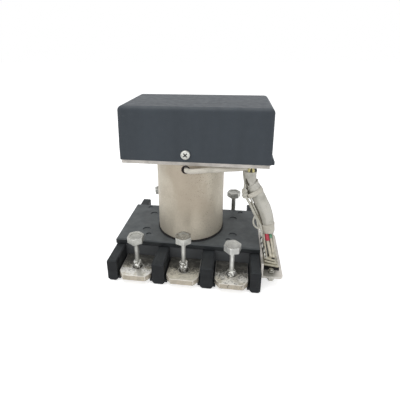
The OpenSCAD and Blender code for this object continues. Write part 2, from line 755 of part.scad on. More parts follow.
// Ledges that carry the terminals outside the walls, on both sides of a bay
module ledges(x) {
    end = rib_end - mould_chamfer;
    w = ledge_w + tuck;
    for (s = [-1, 1], f = [-1, 1])
        translate([x + s * (bay_w / 2 - ledge_w / 2 + tuck / 2), f * (end + wall_y0) / 2, 0])
            block([-w / 2, (wall_y0 - end) / 2, foot_h], [w / 2, (end - wall_y0) / 2, floor_t]);
}

// Slots for the terminals through both walls of a pole
module terminal_slots(x) {
    w = pad_w / 2 + slot_gap;
    for (f = [-1, 1])
        translate([x, f * (wall_y0 + wall_y1) / 2, 0])
            block([-w, -wall_t / 2 - over, floor_t], [w, wall_t / 2 + over, pad_z + slot_gap]);
}

// Lower moulding: floor, walls and barrier ribs, open at the top
module contact_block() {
    notch_w = bar_w / 2 + pocket_gap;
    notch_z = bar_z0 - travel - 2 * stop_gap;
    color("#303235") difference() {
        union() {
            block([-side_x + outer_rib_t / 2, -wall_y1, 0], [side_x - outer_rib_t / 2, wall_y1, floor_t]);
            for (f = [-1, 1])
                translate([0, f * (wall_y0 + wall_y1) / 2, rib_z / 2])
                    cube([base_w - outer_rib_t, wall_t, rib_z], center = true);
            for (i = [0:3]) translate([rib_x[i], 0, 0]) rib(rib_ts[i]);
            for (x = pole_x) ledges(x);
        }
        for (x = pole_x) terminal_slots(x);
        block([-pole_pitch, -notch_w, notch_z], [pole_pitch, notch_w, rib_z + over]);
        base_screw_places() {
            rod(base_screw_r + pass_gap, -over, rib_z + 2 * over);
            rod(base_head_r + pass_gap, -over, base_head_h + over);
        }
        bracket_screw_places()
            cylinder(r = bracket_screw_r + press_gap, h = bracket_grip + over);
    }
}

// Places of the screws between the block and the top plate
module base_screw_places() {
    for (x = rib_x, f = [-1, 1]) translate([x, f * base_screw_y, 0]) children();
}

// Places of the screws under the can
module can_screw_places() {
    for (sx = [-1, 1], sy = [-1, 1]) translate([sx * can_screw_off, sy * can_screw_off, 0]) children();
}

// Places of the posts between the flux plate and the tray
module tray_post_places() {
    for (a = tray_post_angles) rotate(a) translate([tray_post_r, 0, 0]) children();
}

// Mouths of the bracket's screw holes in the base's side, with +Z into the base
module bracket_screw_places() {
    for (s = [-1, 1])
        translate([side_x, conn_y + s * bracket_screw_y, bracket_screw_z]) rotate([0, -90, 0]) children();
}

// Top plate with the carrier's pocket below and round recesses above
module top_plate() {
    pocket_x = pole_pitch + bar_end + pocket_gap;
    pocket_y = bar_w / 2 + pocket_gap;
    rear_x = pole_pitch + 2 * mark_r;
    rear_y = base_d / 2 - 2.5 * small_mark_r;
    color("#3a3c40") difference() {
        translate([0, 0, rib_z]) slab(base_w, base_d, lid_t, mould_chamfer);
        block([-pocket_x, -pocket_y, rib_z - over], [pocket_x, pocket_y, roof_z]);
        rod(boss_r + stop_gap, rib_z - over, lid_t + 2 * over);
        base_screw_places() rod(base_screw_r + press_gap, rib_z - over, base_grip + over);
        can_screw_places() {
            rod(can_screw_r + pass_gap, rib_z - over, lid_t + 2 * over);
            rod(can_head_r + pass_gap, rib_z - over, can_head_h + stop_gap + over);
        }
        for (sx = [-1, 1], sy = [-1, 1])
            translate([sx * pole_pitch, sy * mark_y, base_h - mark_depth]) cylinder(r = mark_r, h = lid_t);
        for (sx = [-1, 1], p = [[small_mark_x, -small_mark_y], [rear_x, rear_y]])
            translate([sx * p.x, p.y, base_h - mark_depth]) cylinder(r = small_mark_r, h = lid_t);
    }
}

// Screws from the mounting face up into the top plate
module base_screws() {
    head_z = base_head_h - base_head_set;
    color("#a8a9a6") base_screw_places() {
        rod(base_head_r, base_head_set, head_z);
        rod(base_screw_r, head_z, rib_z + base_grip - stop_gap - head_z);
    }
}

// Screws from inside the top plate up into the can's bottom
module can_screws() {
    color("#a8a9a6") can_screw_places() {
        rod(can_head_r, rib_z + stop_gap, can_head_h);
        rod(can_screw_r, rib_z + can_head_h, cup_z - rib_z - can_head_h);
    }
}

// Tinned terminal bar with its threaded hole, its contact tip and the seat below, at a pole
module terminal(x, turned) {
    hole_r = thread_r + bolt_gap;
    outline = [
        [-pad_w / 2, -pad_inner_y], [pad_w / 2, -pad_inner_y], [pad_w / 2, pad_chamfer_y - pad_end],
        [pad_w / 2 - pad_chamfer_x, -pad_end], [pad_chamfer_x - pad_w / 2, -pad_end],
        [-pad_w / 2, pad_chamfer_y - pad_end],
    ];
    translate([x, 0, 0]) rotate(turned) color("#c5bfb0") difference() {
        union() {
            translate([0, 0, floor_t]) linear_extrude(pad_t) polygon(outline);
            translate([0, -tip_y, 0]) rod(tip_r, pad_z - tuck, tip_h + tuck);
            translate([0, -bolt_y, 0]) rod(seat_r, floor_t - seat_h, seat_h + tuck);
        }
        translate([0, -bolt_y, 0]) {
            rod(hole_r, floor_t - seat_h - over, pad_t + seat_h + 2 * over);
            translate([0, 0, pad_z - hole_chamfer])
                cylinder(r1 = hole_r, r2 = hole_r + hole_chamfer + over, h = hole_chamfer + over);
        }
    }
}

// Profile of a threaded end with its foot at z = 0
function thread_profile() =
    let (ridge = [for (i = [0:thread_ridges - 1])
        each [[thread_r, thread_chamfer + i * thread_pitch],
            [thread_r - thread_depth, thread_chamfer + (i + 0.5) * thread_pitch]]])
    concat([[0, 0], [thread_r - thread_chamfer, 0]], ridge,
        [[thread_r, thread_h - thread_chamfer], [thread_r - thread_chamfer, thread_h], [0, thread_h]]);

// Captive bolt: dished hexagon head, thinned shank and threaded end. raise lifts it off its terminal.
module terminal_bolt(x, f, raise, turned, shank_r) {
    corner_r = bolt_af / 2 * hex_k;
    head_z = pad_z + raise;
    thread_z = head_z - neck_h - thread_h;
    color("#b5b5b2") translate([x, f * bolt_y, 0]) difference() {
        union() {
            rotate(turned) intersection() {
                hexagon(bolt_af, head_z, bolt_head_h);
                translate([0, 0, head_z])
                    cylinder(r1 = corner_r + 2 * bolt_head_h, r2 = bolt_af / 2, h = bolt_head_h + over / 4);
            }
            rod(shank_r, head_z - neck_h - tuck, neck_h + 2 * tuck);
            translate([0, 0, thread_z]) rotate_extrude() polygon(thread_profile());
        }
        rod(dish_r, head_z + bolt_head_h - dish_depth, bolt_head_h);
    }
}

// Moving crossbar of the contacts, with the boss that grips the shaft
module contact_carrier() {
    reach = pole_pitch + bar_end;
    color("#6b4a33") difference() {
        union() {
            block([-reach, -bar_w / 2, bar_z0], [reach, bar_w / 2, bar_z1]);
            rod(boss_r, bar_z1 - tuck, boss_z1 - bar_z1 + tuck);
        }
        rod(shaft_r + press_gap, shaft_z0, boss_z1);
        for (x = pole_x) translate([x, 0, 0]) rod(post_r + press_gap, bar_z0 - over, post_grip + over);
    }
}

// Headed pins that carry the bridges under the carrier
module bridge_pins() {
    head_z = bridge_z0 - seat_gap - post_head_h;
    color("#b08d57") for (x = pole_x) translate([x, 0, 0]) {
        rod(post_head_r, head_z, post_head_h);
        rod(post_r, head_z, post_z1 - head_z);
    }
}

// Moving bridge with a tip at each end
module bridge(x) {
    reach = tip_y + bridge_end;
    color("#b87333") translate([x, 0, 0]) difference() {
        union() {
            translate([0, 0, bridge_z0]) slab(bridge_w, 2 * reach, bridge_t, bridge_t / 5);
            for (f = [-1, 1]) translate([0, f * tip_y, 0]) rod(tip_r, bridge_z0 - tip_h, tip_h + tuck);
        }
        rod(post_r + run_gap, bridge_z0 - over, bridge_t + 2 * over);
    }
}

// Spring that presses a bridge down from the carrier
module contact_spring(x) {
    z0 = bridge_z1 + seat_gap + contact_wire_r;
    z1 = bar_z0 - seat_gap - contact_wire_r;
    color("#8d8f92") translate([x, 0, z0])
        wire(helix(contact_coil_r, z1 - z0, contact_turns, 12), contact_wire_r, [0, 0, 1], 6);
}

// Drawn can with its lead hole at the front, near the rim
module can() {
    color("#b0a898") difference() {
        union() {
            rod(can_r, can_z0 + can_chamfer, can_h - can_chamfer);
            translate([0, 0, can_z0]) cylinder(r1 = can_r - can_chamfer, r2 = can_r, h = can_chamfer);
        }
        rod(can_in_r, cup_z, can_h);
        rod(spigot_r + press_gap, can_z0 - over, can_floor_t + 2 * over);
        can_screw_places() rod(can_screw_r + press_gap, can_z0 - over, can_floor_t + 2 * over);
        translate([0, -can_r + 2 * can_wall, can_z1 - lead_hole_drop]) rotate([90, 0, 0])
            cylinder(r = lead_hole_r, h = 3 * can_wall);
    }
}

// Flat gasket between the top plate and the can
module can_gasket() {
    color("#1b1b1c") difference() {
        rod(can_r + gasket_out, base_h, gasket_t);
        rod(spigot_r + pass_gap, base_h - over, gasket_t + 2 * over);
        can_screw_places() rod(can_screw_r + pass_gap, base_h - over, gasket_t + 2 * over);
    }
}

// Fixed core with its spigot in the can's bottom, bored for the shaft
module core() {
    color("#8a8d90") difference() {
        union() {
            rod(core_r, cup_z, core_h);
            rod(spigot_r, can_z0, can_floor_t + tuck);
        }
        rod(shaft_r + run_gap, can_z0 - over, core_h + can_floor_t + 2 * over);
        rod(spring_pocket_r, core_z1 - spring_pocket_depth, spring_pocket_depth + over);
    }
}

// Bobbin between the can's bottom and the flux plate
module coil_bobbin() {
    color("#d8d2c0") difference() {
        union() {
            rod(tube_r + bobbin_wall, cup_z, flux_z0 - cup_z);
            rod(flange_r, cup_z, bobbin_flange_t);
            rod(flange_r, flux_z0 - bobbin_flange_t, bobbin_flange_t);
        }
        rod(tube_r, cup_z - over, flux_z0 - cup_z + 2 * over);
    }
}

// Coil winding on the bobbin
module coil_winding() {
    z0 = cup_z + bobbin_flange_t + seat_gap;
    h = flux_z0 - bobbin_flange_t - seat_gap - z0;
    color("#9a4a24") difference() {
        rod(flange_r - winding_drop, z0, h);
        rod(tube_r + bobbin_wall + press_gap, z0 - over, h + 2 * over);
    }
}

// Steel plate that closes the coil's top inside the can
module flux_plate() {
    color("#8a8d90") difference() {
        rod(can_in_r - press_gap, flux_z0, flux_t);
        rod(plunger_r + bore_gap, flux_z0 - over, flux_t + 2 * over);
        tray_post_places() rod(tray_screw_r + press_gap, flux_z0 - over, flux_t + 2 * over);
        translate([lead_route[0].x, lead_route[0].y, 0])
            rod(lead_r + lead_gap, flux_z0 - over, flux_t + 2 * over);
    }
}

// Plunger that the coil draws down to the core
module plunger() {
    color("#9c9fa2") difference() {
        rod(plunger_r, plunger_z0, plunger_z1 - plunger_z0);
        rod(shaft_r + press_gap, plunger_z0 - over, plunger_z1 - plunger_z0 + 2 * over);
    }
}

// Shaft from the contact carrier up to the switch's disc
module shaft() {
    color("#b5b5b2") rod(shaft_r, shaft_z0, shaft_z1 - shaft_z0);
}

// Spring that lifts the plunger off the core
module return_spring() {
    z0 = core_z1 - spring_pocket_depth + seat_gap + return_wire_r;
    z1 = plunger_z0 - seat_gap - return_wire_r;
    color("#8d8f92") translate([0, 0, z0])
        wire(helix(return_coil_r, z1 - z0, return_turns, 14), return_wire_r, [0, 0, 1], 6);
}

// Outline of the tray or of a shape inset from it
module tray_plan(inset) {
    r = max(tray_corner_r - inset, tuck);
    translate([cover_x, cover_y]) polygon(rounded(box_points(tray_w - 2 * inset, tray_d - 2 * inset), r));
}

// Folded tray that carries the control parts and the cover
module tray() {
    color("#c8c4be") difference() {
        translate([0, 0, tray_z0]) linear_extrude(tray_side_h) tray_plan(0);
        translate([0, 0, tray_z1]) linear_extrude(tray_side_h) tray_plan(tray_t);
        rod(shaft_r + pocket_gap, tray_z0 - over, tray_t + 2 * over);
        tray_post_places() rod(tray_screw_r + pass_gap, tray_z0 - over, tray_t + 2 * over);
        for (s = [-1, 1])
            translate([s * (stirrup_x + stirrup_t + stirrup_foot / 2), 0, 0])
                rod(tray_screw_r + press_gap, tray_z0 - over, tray_t + 2 * over);
        translate([cable_x, cable_y, 0]) rod(cable_hole_r, tray_z0 - over, tray_t + 2 * over);
        cover_screw_places() cylinder(r = cover_screw_r + press_gap, h = 3 * tray_t + cover_t);
    }
}

// Places of the cover's screws on its front and back, with +Z into the cover
module cover_screw_places() {
    for (f = [-1, 1])
        translate([0, cover_y + f * cover_d / 2, cover_screw_z]) rotate([f * 90, 0, 0]) children();
}

// Threaded posts between the flux plate and the tray, each with a stud below
module tray_posts() {
    color("#b5b5b2") tray_post_places() difference() {
        union() {
            hexagon(tray_post_af, flux_z1, tray_post_h);
            rod(tray_screw_r, flux_z0, flux_t + tuck);
        }
        rod(tray_screw_r + press_gap, can_z1 - tray_grip - stop_gap, tray_grip + stop_gap + over);
    }
}

// Screws in the tray: three into the posts and two that hold the switch's bracket
module tray_screws() {
    color("#b5b5b2") {
        tray_post_places() {
            rod(tray_head_r, tray_z1, tray_head_h);
            rod(tray_screw_r, can_z1 - tray_grip, tray_grip + tray_t + tuck);
        }
        for (s = [-1, 1]) translate([s * (stirrup_x + stirrup_t + stirrup_foot / 2), 0, 0]) {
            rod(tray_head_r, tray_z1 + stirrup_t, tray_head_h);
            rod(tray_screw_r, tray_z0, tray_t + stirrup_t + tuck);
        }
    }
}

// Rubber grommet in the tray's cable hole
module tray_grommet() {
    lip_r = cable_hole_r + grommet_lip_out;
    color("#1b1b1c") translate([cable_x, cable_y, 0]) difference() {
        union() {
            rod(cable_hole_r - press_gap, tray_z0 - grommet_lip_t, tray_t + 2 * grommet_lip_t);
            rod(lip_r, tray_z0 - grommet_lip_t, grommet_lip_t);
            rod(lip_r, tray_z1, grommet_lip_t);
        }
        rod(grommet_r, tray_z0 - over - grommet_lip_t, tray_t + 2 * (over + grommet_lip_t));
    }
}

// Rounded form of the cover, or of the space in it, smaller all round by inset. Its upright edges
// keep their lower radius over the height of the tray.
module cover_form(inset) {
    x = cover_w / 2;
    y = cover_d / 2;
    even_h = tray_z0 + tray_side_h + seat_gap - cover_z0;
    translate([cover_x, cover_y, 0]) hull() {
        for (sx = [-1, 1], sy = [-1, 1]) {
            translate([sx * (x - cover_edge_r), sy * (y - cover_edge_r), cover_z1 - cover_edge_r])
                sphere(r = cover_edge_r - inset, $fn = hull_fn);
            translate([sx * (x - cover_corner_r), sy * (y - cover_corner_r), cover_z0 - inset])
                cylinder(r = cover_corner_r - inset, h = even_h + inset, $fn = hull_fn);
        }
    }
}

// Painted sheet cover, open below, with a splayed lip along its right end
module top_cover() {
    x1 = cover_x + cover_w / 2;
    x0 = x1 - cover_t / 2;
    x2 = x1 + splay_out;
    splay_z1 = cover_z0 + splay_h;
    lip = [[x0, cover_z0], [x2, cover_z0], [x2, cover_z0 + splay_edge], [x1, splay_z1], [x0, splay_z1]];
    splay_l = cover_d - 2 * cover_corner_r;
    color("#464b52") difference() {
        union() {
            difference() {
                cover_form(0);
                cover_form(cover_t);
            }
            translate([0, cover_y + splay_l / 2, 0]) rotate([90, 0, 0]) linear_extrude(splay_l)
                polygon(lip);
        }
        cover_screw_places() rod(cover_screw_r + pass_gap, -over, 2 * cover_t + over);
    }
}

// Pan head screws in the front and back of the cover, with cross recesses
module cover_screws() {
    slope = cover_head_h / 2;
    color("#d0d0cc") cover_screw_places() {
        difference() {
            union() {
                translate([0, 0, -cover_head_h])
                    cylinder(r1 = cover_head_r - slope, r2 = cover_head_r, h = slope);
                rod(cover_head_r, -slope, slope);
            }
            for (a = [0, 90]) rotate(a + cross_turn)
                block([-cross_l / 2, -cross_w / 2, -cover_head_h - over],
                    [cross_l / 2, cross_w / 2, cross_depth - cover_head_h]);
        }
        rod(cover_screw_r, -tuck, cover_shank + tuck);
    }
}

// Bent strip that holds the switch over the disc
module switch_bracket() {
    x1 = stirrup_x + stirrup_t;
    foot = x1 + stirrup_foot;
    color("#c8c4be") difference() {
        union() {
            for (s = [-1, 1]) mirror([s < 0 ? 1 : 0, 0, 0]) {
                block([stirrup_x, -stirrup_w / 2, tray_z1], [x1, stirrup_w / 2, switch_z1 + stirrup_t]);
                block([stirrup_x, -stirrup_w / 2, tray_z1], [foot, stirrup_w / 2, tray_z1 + stirrup_t]);
            }
            block([-x1, -stirrup_w / 2, switch_z1], [x1, stirrup_w / 2, switch_z1 + stirrup_t]);
        }
        for (s = [-1, 1]) translate([s * (x1 + stirrup_foot / 2), 0, 0])
            rod(tray_screw_r + pass_gap, tray_z1 - over, stirrup_t + 2 * over);
    }
}

// Small switch with two ears and the pin of its lever
module micro_switch() {
    x0 = -switch_off - switch_l;
    lever_w = switch_w - 2 * ear_t;
    color("#26282b") difference() {
        union() {
            block([x0, -switch_w / 2, switch_z0], [-switch_off, switch_w / 2, switch_z1]);
            for (s = [-1, 1])
                translate([pin_x, s * (lever_w + ear_t) / 2, 0])
                    block([-eye_r, -ear_t / 2, pin_z - eye_r], [eye_r, ear_t / 2, switch_z0 + tuck]);
            translate([pin_x, lever_w / 2 + tuck, pin_z]) rotate([90, 0, 0])
                cylinder(r = pin_r, h = lever_w + 2 * tuck);
        }
        translate([pin_x + button_x, 0, 0]) rod(button_r + run_gap, switch_z0 - over, button_l + over);
    }
}

// Button of the switch, pressed in while the contactor is at rest
module switch_button() {
    color("#b23b2e") translate([pin_x + button_x, 0, 0])
        rod(button_r, lever_z0 + lever_t + seat_gap, button_l);
}

// Lever of the switch with its rolled eye on the pin
module switch_lever() {
    w = switch_w - 2 * ear_t - 2 * stop_gap;
    color("#b5b5b2") difference() {
        union() {
            block([pin_x, -w / 2, lever_z0], [-lever_tip, w / 2, lever_z0 + lever_t]);
            translate([pin_x, w / 2, pin_z]) rotate([90, 0, 0]) cylinder(r = eye_r, h = w);
        }
        translate([pin_x, w / 2 + over, pin_z]) rotate([90, 0, 0])
            cylinder(r = pin_r + run_gap / 2, h = w + 2 * over);
    }
}

// Disc near the shaft's top that works the lever
module actuator_disc() {
    color("#d8d2c0") difference() {
        union() {
            rod(disc_r, disc_z1 - disc_t, disc_t);
            rod(shaft_r + hub_wall, disc_z1 - disc_t - hub_h, disc_t + hub_h);
        }
        rod(shaft_r + press_gap, disc_z1 - disc_t - hub_h - over, disc_t + hub_h + 2 * over);
    }
}

// Places of the board's spacers
module spacer_places() {
    for (sx = [-1, 1], sy = [-1, 1]) translate([sx * spacer_x, cover_y + sy * spacer_y, 0]) children();
}

// Circuit board over the switch
module circuit_board() {
    y0 = cover_y - board_d / 2;
    color("#2f6b3f") difference() {
        block([board_x0, y0, board_z0], [board_x1, y0 + board_d, board_z1]);
        spacer_places() rod(spacer_neck_r + press_gap, board_z0 - over, board_t + 2 * over);
    }
}

// Plastic spacers that clip through the board
module board_spacers() {
    color("#e6e3d8") spacer_places() {
        hexagon(spacer_af, tray_z1, spacer_h);
        rod(spacer_neck_r, board_z0 - tuck, board_t + 2 * tuck);
        rod(spacer_neck_r + spacer_head_h / 2, board_z1, spacer_head_h);
    }
}

// Relay on the board
module control_relay() {
    color("#2b3a55") translate([-relay_w / 2, cover_y, board_z1])
        slab(relay_w, relay_d, relay_h, mould_chamfer / 2);
}

// Angle bracket on the base's right side, with a shelf for the connector
module connector_bracket() {
    y0 = conn_y - bracket_l / 2;
    y1 = conn_y + bracket_l / 2;
    x1 = side_x + bracket_out;
    r = shelf_corner_r;
    front = corner([side_x, y0], [x1, y0], [x1, y1], r, 6);
    back = corner([x1, y0], [x1, y1], [side_x, y1], r, 6);
    cut_x = block_w / 2 + press_gap;
    cut_y = block_l / 2 + press_gap;
    color("#b9b6b2") difference() {
        union() {
            translate([0, 0, shelf_z0]) linear_extrude(bracket_t)
                polygon(concat([[side_x, y0]], front, back, [[side_x, y1]]));
            block([side_x, y0, shelf_z0], [leg_x1, y1, bracket_top]);
        }
        translate([conn_x, conn_y, 0]) {
            block([-cut_x, -cut_y, shelf_z0 - over], [cut_x, cut_y, shelf_z + over]);
            for (s = [-1, 1]) translate([0, s * conn_pitch / 2, 0])
                rod(jack_r + pass_gap, shelf_z0 - over, bracket_t + 2 * over);
        }
        bracket_screw_places() translate([0, 0, -bracket_t]) bracket_screw_form(press_gap, over);
    }
}

// Countersunk screw, or the hole for it, with its flat face at z = 0
module bracket_screw_form(gap, past) {
    head = bracket_head_r + gap;
    shank = bracket_screw_r + gap;
    cylinder(r1 = head, r2 = shank, h = head - shank);
    cylinder(r = shank, h = bracket_t + bracket_grip - stop_gap + past);
    translate([0, 0, -past]) cylinder(r = past > 0 ? head : shank, h = past > 0 ? past : tuck);
}

// Countersunk screws of the bracket
module bracket_screws() {
    color("#a8a9a6") bracket_screw_places() translate([0, 0, -bracket_t]) bracket_screw_form(0, 0);
}

// Tapered outline of the connector's shell, smaller all round by inset
module shell_plan(inset) {
    w = shell_w - 2 * inset;
    half = shell_l / 2 - inset;
    lean = w / 2 * tan(shell_slope);
    corners = [[-half - lean, w / 2], [-half + lean, -w / 2], [half - lean, -w / 2], [half + lean, w / 2]];
    rotate(90) polygon(rounded(corners, shell_corner_r - inset));
}

// Metal shell of the connector with its flange under the shelf
module connector_shell() {
    color("#c9c7c0") translate([conn_x, conn_y, 0]) difference() {
        union() {
            translate([0, 0, flange_z0]) linear_extrude(flange_t)
                polygon(rounded(box_points(flange_w, flange_l), flange_corner_r));
            translate([0, 0, flange_z0 - shell_h]) linear_extrude(shell_h + tuck) shell_plan(0);
        }
        translate([0, 0, flange_z0 - shell_h - over])
            linear_extrude(shell_h + flange_t + 2 * over) shell_plan(shell_t);
        for (s = [-1, 1]) translate([0, s * conn_pitch / 2, 0])
            rod(jack_r + pass_gap, flange_z0 - over, flange_t + 2 * over);
    }
}

// Places of the connector's contacts: a row of contact_count and a row of one less
module contact_places() {
    for (row = [0, 1]) {
        last = contact_count - 1 - row;
        for (i = [0:last])
            translate([conn_x + (row - 0.5) * contact_rows, conn_y + (i - last / 2) * contact_pitch, 0])
                children();
    }
}

// Insulator: the insert in the shell and the rear block through the shelf
module connector_insulator() {
    face_z = flange_z0 - shell_h + stop_gap;
    color("#1d1e20") difference() {
        translate([conn_x, conn_y, 0]) union() {
            translate([0, 0, face_z]) linear_extrude(shelf_z0 - face_z + tuck)
                shell_plan(shell_t + press_gap);
            block([-block_w / 2, -block_l / 2, shelf_z0], [block_w / 2, block_l / 2, block_z1]);
        }
        contact_places() rod(contact_r + press_gap, face_z - over, block_z1 - face_z + 2 * over);
    }
}

// Socket contacts in the insulator
module connector_contacts() {
    z0 = flange_z0 - shell_h + 2 * stop_gap;
    color("#c9a24b") contact_places() rod(contact_r, z0, block_z1 - z0);
}

// Grooved block of the clamp between two heights
module clamp_half(w, l, z0, z1) {
    translate([0, 0, z0]) linear_extrude(z1 - z0)
        polygon(box_points(w - 2 * clamp_groove, l - 2 * clamp_groove));
    for (z = [z0, z1 - clamp_rib_h]) translate([0, 0, z]) linear_extrude(clamp_rib_h)
        polygon(box_points(w, l));
}

// Stepped clamp that holds the wires on the rear block
module connector_clamp() {
    color("#c8c4b4") translate([conn_x, conn_y, 0]) {
        clamp_half(block_w, block_l, block_z1, clamp_mid_z);
        clamp_half(clamp_up_w, clamp_up_l, clamp_mid_z - tuck, clamp_z1);
    }
}

// Jack posts under the flange, each with its screw and nut on the shelf
module connector_screws() {
    color("#b5b5b2") for (s = [-1, 1]) translate([conn_x, conn_y + s * conn_pitch / 2, 0]) {
        hexagon(jack_af, flange_z0 - jack_h, jack_h);
        rod(jack_r, flange_z0 - tuck, shelf_z - flange_z0 + nut_h + jack_up + tuck);
        hexagon(nut_af, shelf_z, nut_h);
    }
}

// Cloth sleeve over the harness, with level ends
module harness_sleeve() {
    route = smooth(sleeve_route, 2);
    path = levelled(places(route), end_step, -end_step);
    color("#b8b8b0") tube(path, doubled(radii(route)), [0, 1, 0], 12);
}

// Ties around the sleeve
module cable_ties() {
    route = smooth(sleeve_route, 2);
    path = places(route);
    color("#d6d3c6") for (i = tie_rings) {
        t = heading(path, i);
        r = max(route[i - 1][3], route[i][3], route[i + 1][3]) + seat_gap;
        translate(path[i]) rotate([0, acos(t.z), atan2(t.y, t.x)]) difference() {
            cylinder(r = r + tie_t, h = tie_w, center = true);
            cylinder(r = r, h = tie_w + 2 * over, center = true);
        }
    }
}

// Path of the trunk, with level ends
function trunk_path() = levelled(smooth(trunk_route, 2), end_step, -end_step);

// Path of a wire of the fan: straight down out of the sleeve, across, and straight into the clamp
function fan_path(w) =
    let (foot = sleeve_route[len(sleeve_route) - 1], z2 = clamp_z1 + seat_gap)
    let (a = [foot.x + w[0], foot.y + w[1], sleeve_z0 - seat_gap])
    let (b = [conn_x + w[2], conn_y + w[3] * clamp_up_l / fan_span, z2])
    let (z0 = a.z - marker_l - seat_gap, z1 = z2 + end_step)
    concat([a, [a.x, a.y, z0]], [for (i = [0:fan_steps])
        let (t = i / fan_steps, k = t * t * (3 - 2 * t))
        [a.x + k * (b.x - a.x), a.y + k * (b.y - a.y), z0 - end_step + t * (z1 - z0 + end_step)]], [b]);

// Wires: the trunk above the sleeve and the fan below it
module harness_wires() {
    color("#d2ccb8") {
        wire(trunk_path(), trunk_r, [0, 1, 0]);
        for (i = [0:len(fan_wires) - 1]) {
            path = fan_path(fan_wires[i]);
            first = i < len(marker_rs) ? 1 : 0;
            wire([for (j = [first:len(path) - 1]) path[j]], wire_r, [1, 0.2, 0], thin_sides);
        }
    }
}

// Marker sleeves on two wires of the fan, and the yellow wires beside the trunk
module marked_wires() {
    color("#b02a2a") for (i = [0:len(marker_rs) - 1]) {
        top = fan_path(fan_wires[i])[0];
        translate([top.x, top.y, 0]) rod(marker_rs[i], top.z - marker_l, marker_l);
    }
    color("#d8b84a") for (p = yellow_places)
        wire([for (q = trunk_path()) q + [p.x, p.y, 0]], yellow_r, [0, 1, 0], thin_sides);
}

// Lacing cord that hangs beside the sleeve: long strand with its knot, short strand and loose loop
module lacing() {
    color("#c4c0ac") {
        strand = smooth(long_lace, 2);
        tube(places(strand), radii(strand), [0, 1, 0]);
        for (route = [short_lace, loop_lace]) {
            thin = smooth(route, 2);
            tube(places(thin), radii(thin), [0, 1, 0], thin_sides);
        }
    }
}

// Coil lead in its sleeve, with level ends
module coil_lead() {
    color("#c8c4a8") wire(levelled(smooth(lead_route, 2), -end_step, -end_step), lead_r, [0.1, 0, 1]);
}

top_cover();
cover_screws();
tray();
tray_posts();
tray_screws();
tray_grommet();
circuit_board();
board_spacers();
control_relay();
switch_bracket();
micro_switch();
switch_button();
switch_lever();
actuator_disc();
can();
can_gasket();
can_screws();
coil_bobbin();
coil_winding();
core();
flux_plate();
plunger();
shaft();
return_spring();
contact_block();
top_plate();
base_screws();
terminal(pole_x[0], 0);  // line_terminal_1
terminal(pole_x[1], 0);  // line_terminal_2
terminal(pole_x[2], 0);  // line_terminal_3
terminal(pole_x[0], 180);  // load_terminal_1
terminal(pole_x[1], 180);  // load_terminal_2
terminal(pole_x[2], 180);  // load_terminal_3
terminal_bolt(pole_x[0], -1, raise_line_1, 29, neck_r);  // line_bolt_1
terminal_bolt(pole_x[1], -1, raise_line_2, 41, neck_r);  // line_bolt_2
terminal_bolt(pole_x[2], -1, raise_line_3, 15, neck_r);  // line_bolt_3
terminal_bolt(pole_x[0], 1, raise_load, 48, load_neck_r);  // load_bolt_1
terminal_bolt(pole_x[1], 1, raise_load, 22, load_neck_r);  // load_bolt_2
terminal_bolt(pole_x[2], 1, raise_load, 9, load_neck_r);  // load_bolt_3
contact_carrier();
bridge_pins();
bridge(pole_x[0]);  // bridge_1
bridge(pole_x[1]);  // bridge_2
bridge(pole_x[2]);  // bridge_3
contact_spring(pole_x[0]);  // contact_spring_1
contact_spring(pole_x[1]);  // contact_spring_2
contact_spring(pole_x[2]);  // contact_spring_3
connector_bracket();
bracket_screws();
connector_shell();
connector_insulator();
connector_contacts();
connector_clamp();
connector_screws();
harness_sleeve();
cable_ties();
harness_wires();
marked_wires();
lacing();
coil_lead();
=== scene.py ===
"""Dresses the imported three-pole power contactor and sets up its picture.

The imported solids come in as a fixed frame. Each sub-assembly is a class: it softens
the edges of the solids that show, models the finer pieces that the solids leave out,
such as the cloth sleeve, the tape, the lacing and the single wires, and gives every
piece and every solid its finish. Lengths in the dataclasses are millimetres, in the
frame of the solids: X right, Y back, Z up from the mounting face.
"""

from __future__ import annotations

import json
import logging
import math
from dataclasses import dataclass, field
from enum import Enum
from typing import Callable, Sequence

import bmesh
import bpy
from mathutils import Matrix, Vector, noise

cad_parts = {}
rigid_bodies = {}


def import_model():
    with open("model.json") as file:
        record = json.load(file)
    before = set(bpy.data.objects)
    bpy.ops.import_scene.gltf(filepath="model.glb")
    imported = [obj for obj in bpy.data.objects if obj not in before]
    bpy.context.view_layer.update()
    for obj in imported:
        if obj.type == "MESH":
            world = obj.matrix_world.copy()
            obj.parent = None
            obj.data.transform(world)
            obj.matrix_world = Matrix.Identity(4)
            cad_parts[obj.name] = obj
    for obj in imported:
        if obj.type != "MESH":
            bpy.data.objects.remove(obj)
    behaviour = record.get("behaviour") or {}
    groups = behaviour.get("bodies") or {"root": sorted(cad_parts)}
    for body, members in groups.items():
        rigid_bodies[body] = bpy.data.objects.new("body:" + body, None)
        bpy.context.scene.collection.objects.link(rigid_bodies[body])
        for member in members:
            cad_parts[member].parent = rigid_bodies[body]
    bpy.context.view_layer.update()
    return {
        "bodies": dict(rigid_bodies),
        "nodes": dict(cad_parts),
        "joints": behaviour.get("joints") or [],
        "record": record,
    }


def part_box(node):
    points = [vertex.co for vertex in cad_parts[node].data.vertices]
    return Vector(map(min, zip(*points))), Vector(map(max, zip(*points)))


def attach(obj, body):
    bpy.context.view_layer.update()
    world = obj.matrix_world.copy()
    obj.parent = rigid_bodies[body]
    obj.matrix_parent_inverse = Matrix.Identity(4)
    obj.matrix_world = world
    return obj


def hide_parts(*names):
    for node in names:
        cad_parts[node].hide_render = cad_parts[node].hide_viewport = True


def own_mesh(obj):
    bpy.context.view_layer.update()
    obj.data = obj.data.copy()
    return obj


LOG = logging.getLogger("contactor")
MM = 0.001
MERGE = 2e-6  # corners of a solid closer than this, in metres, are one corner
Socket = bpy.types.NodeSocket
Colour = tuple[float, float, float, float]
Route = Sequence[Sequence[float]]
Relief = Callable[[float, float], float]


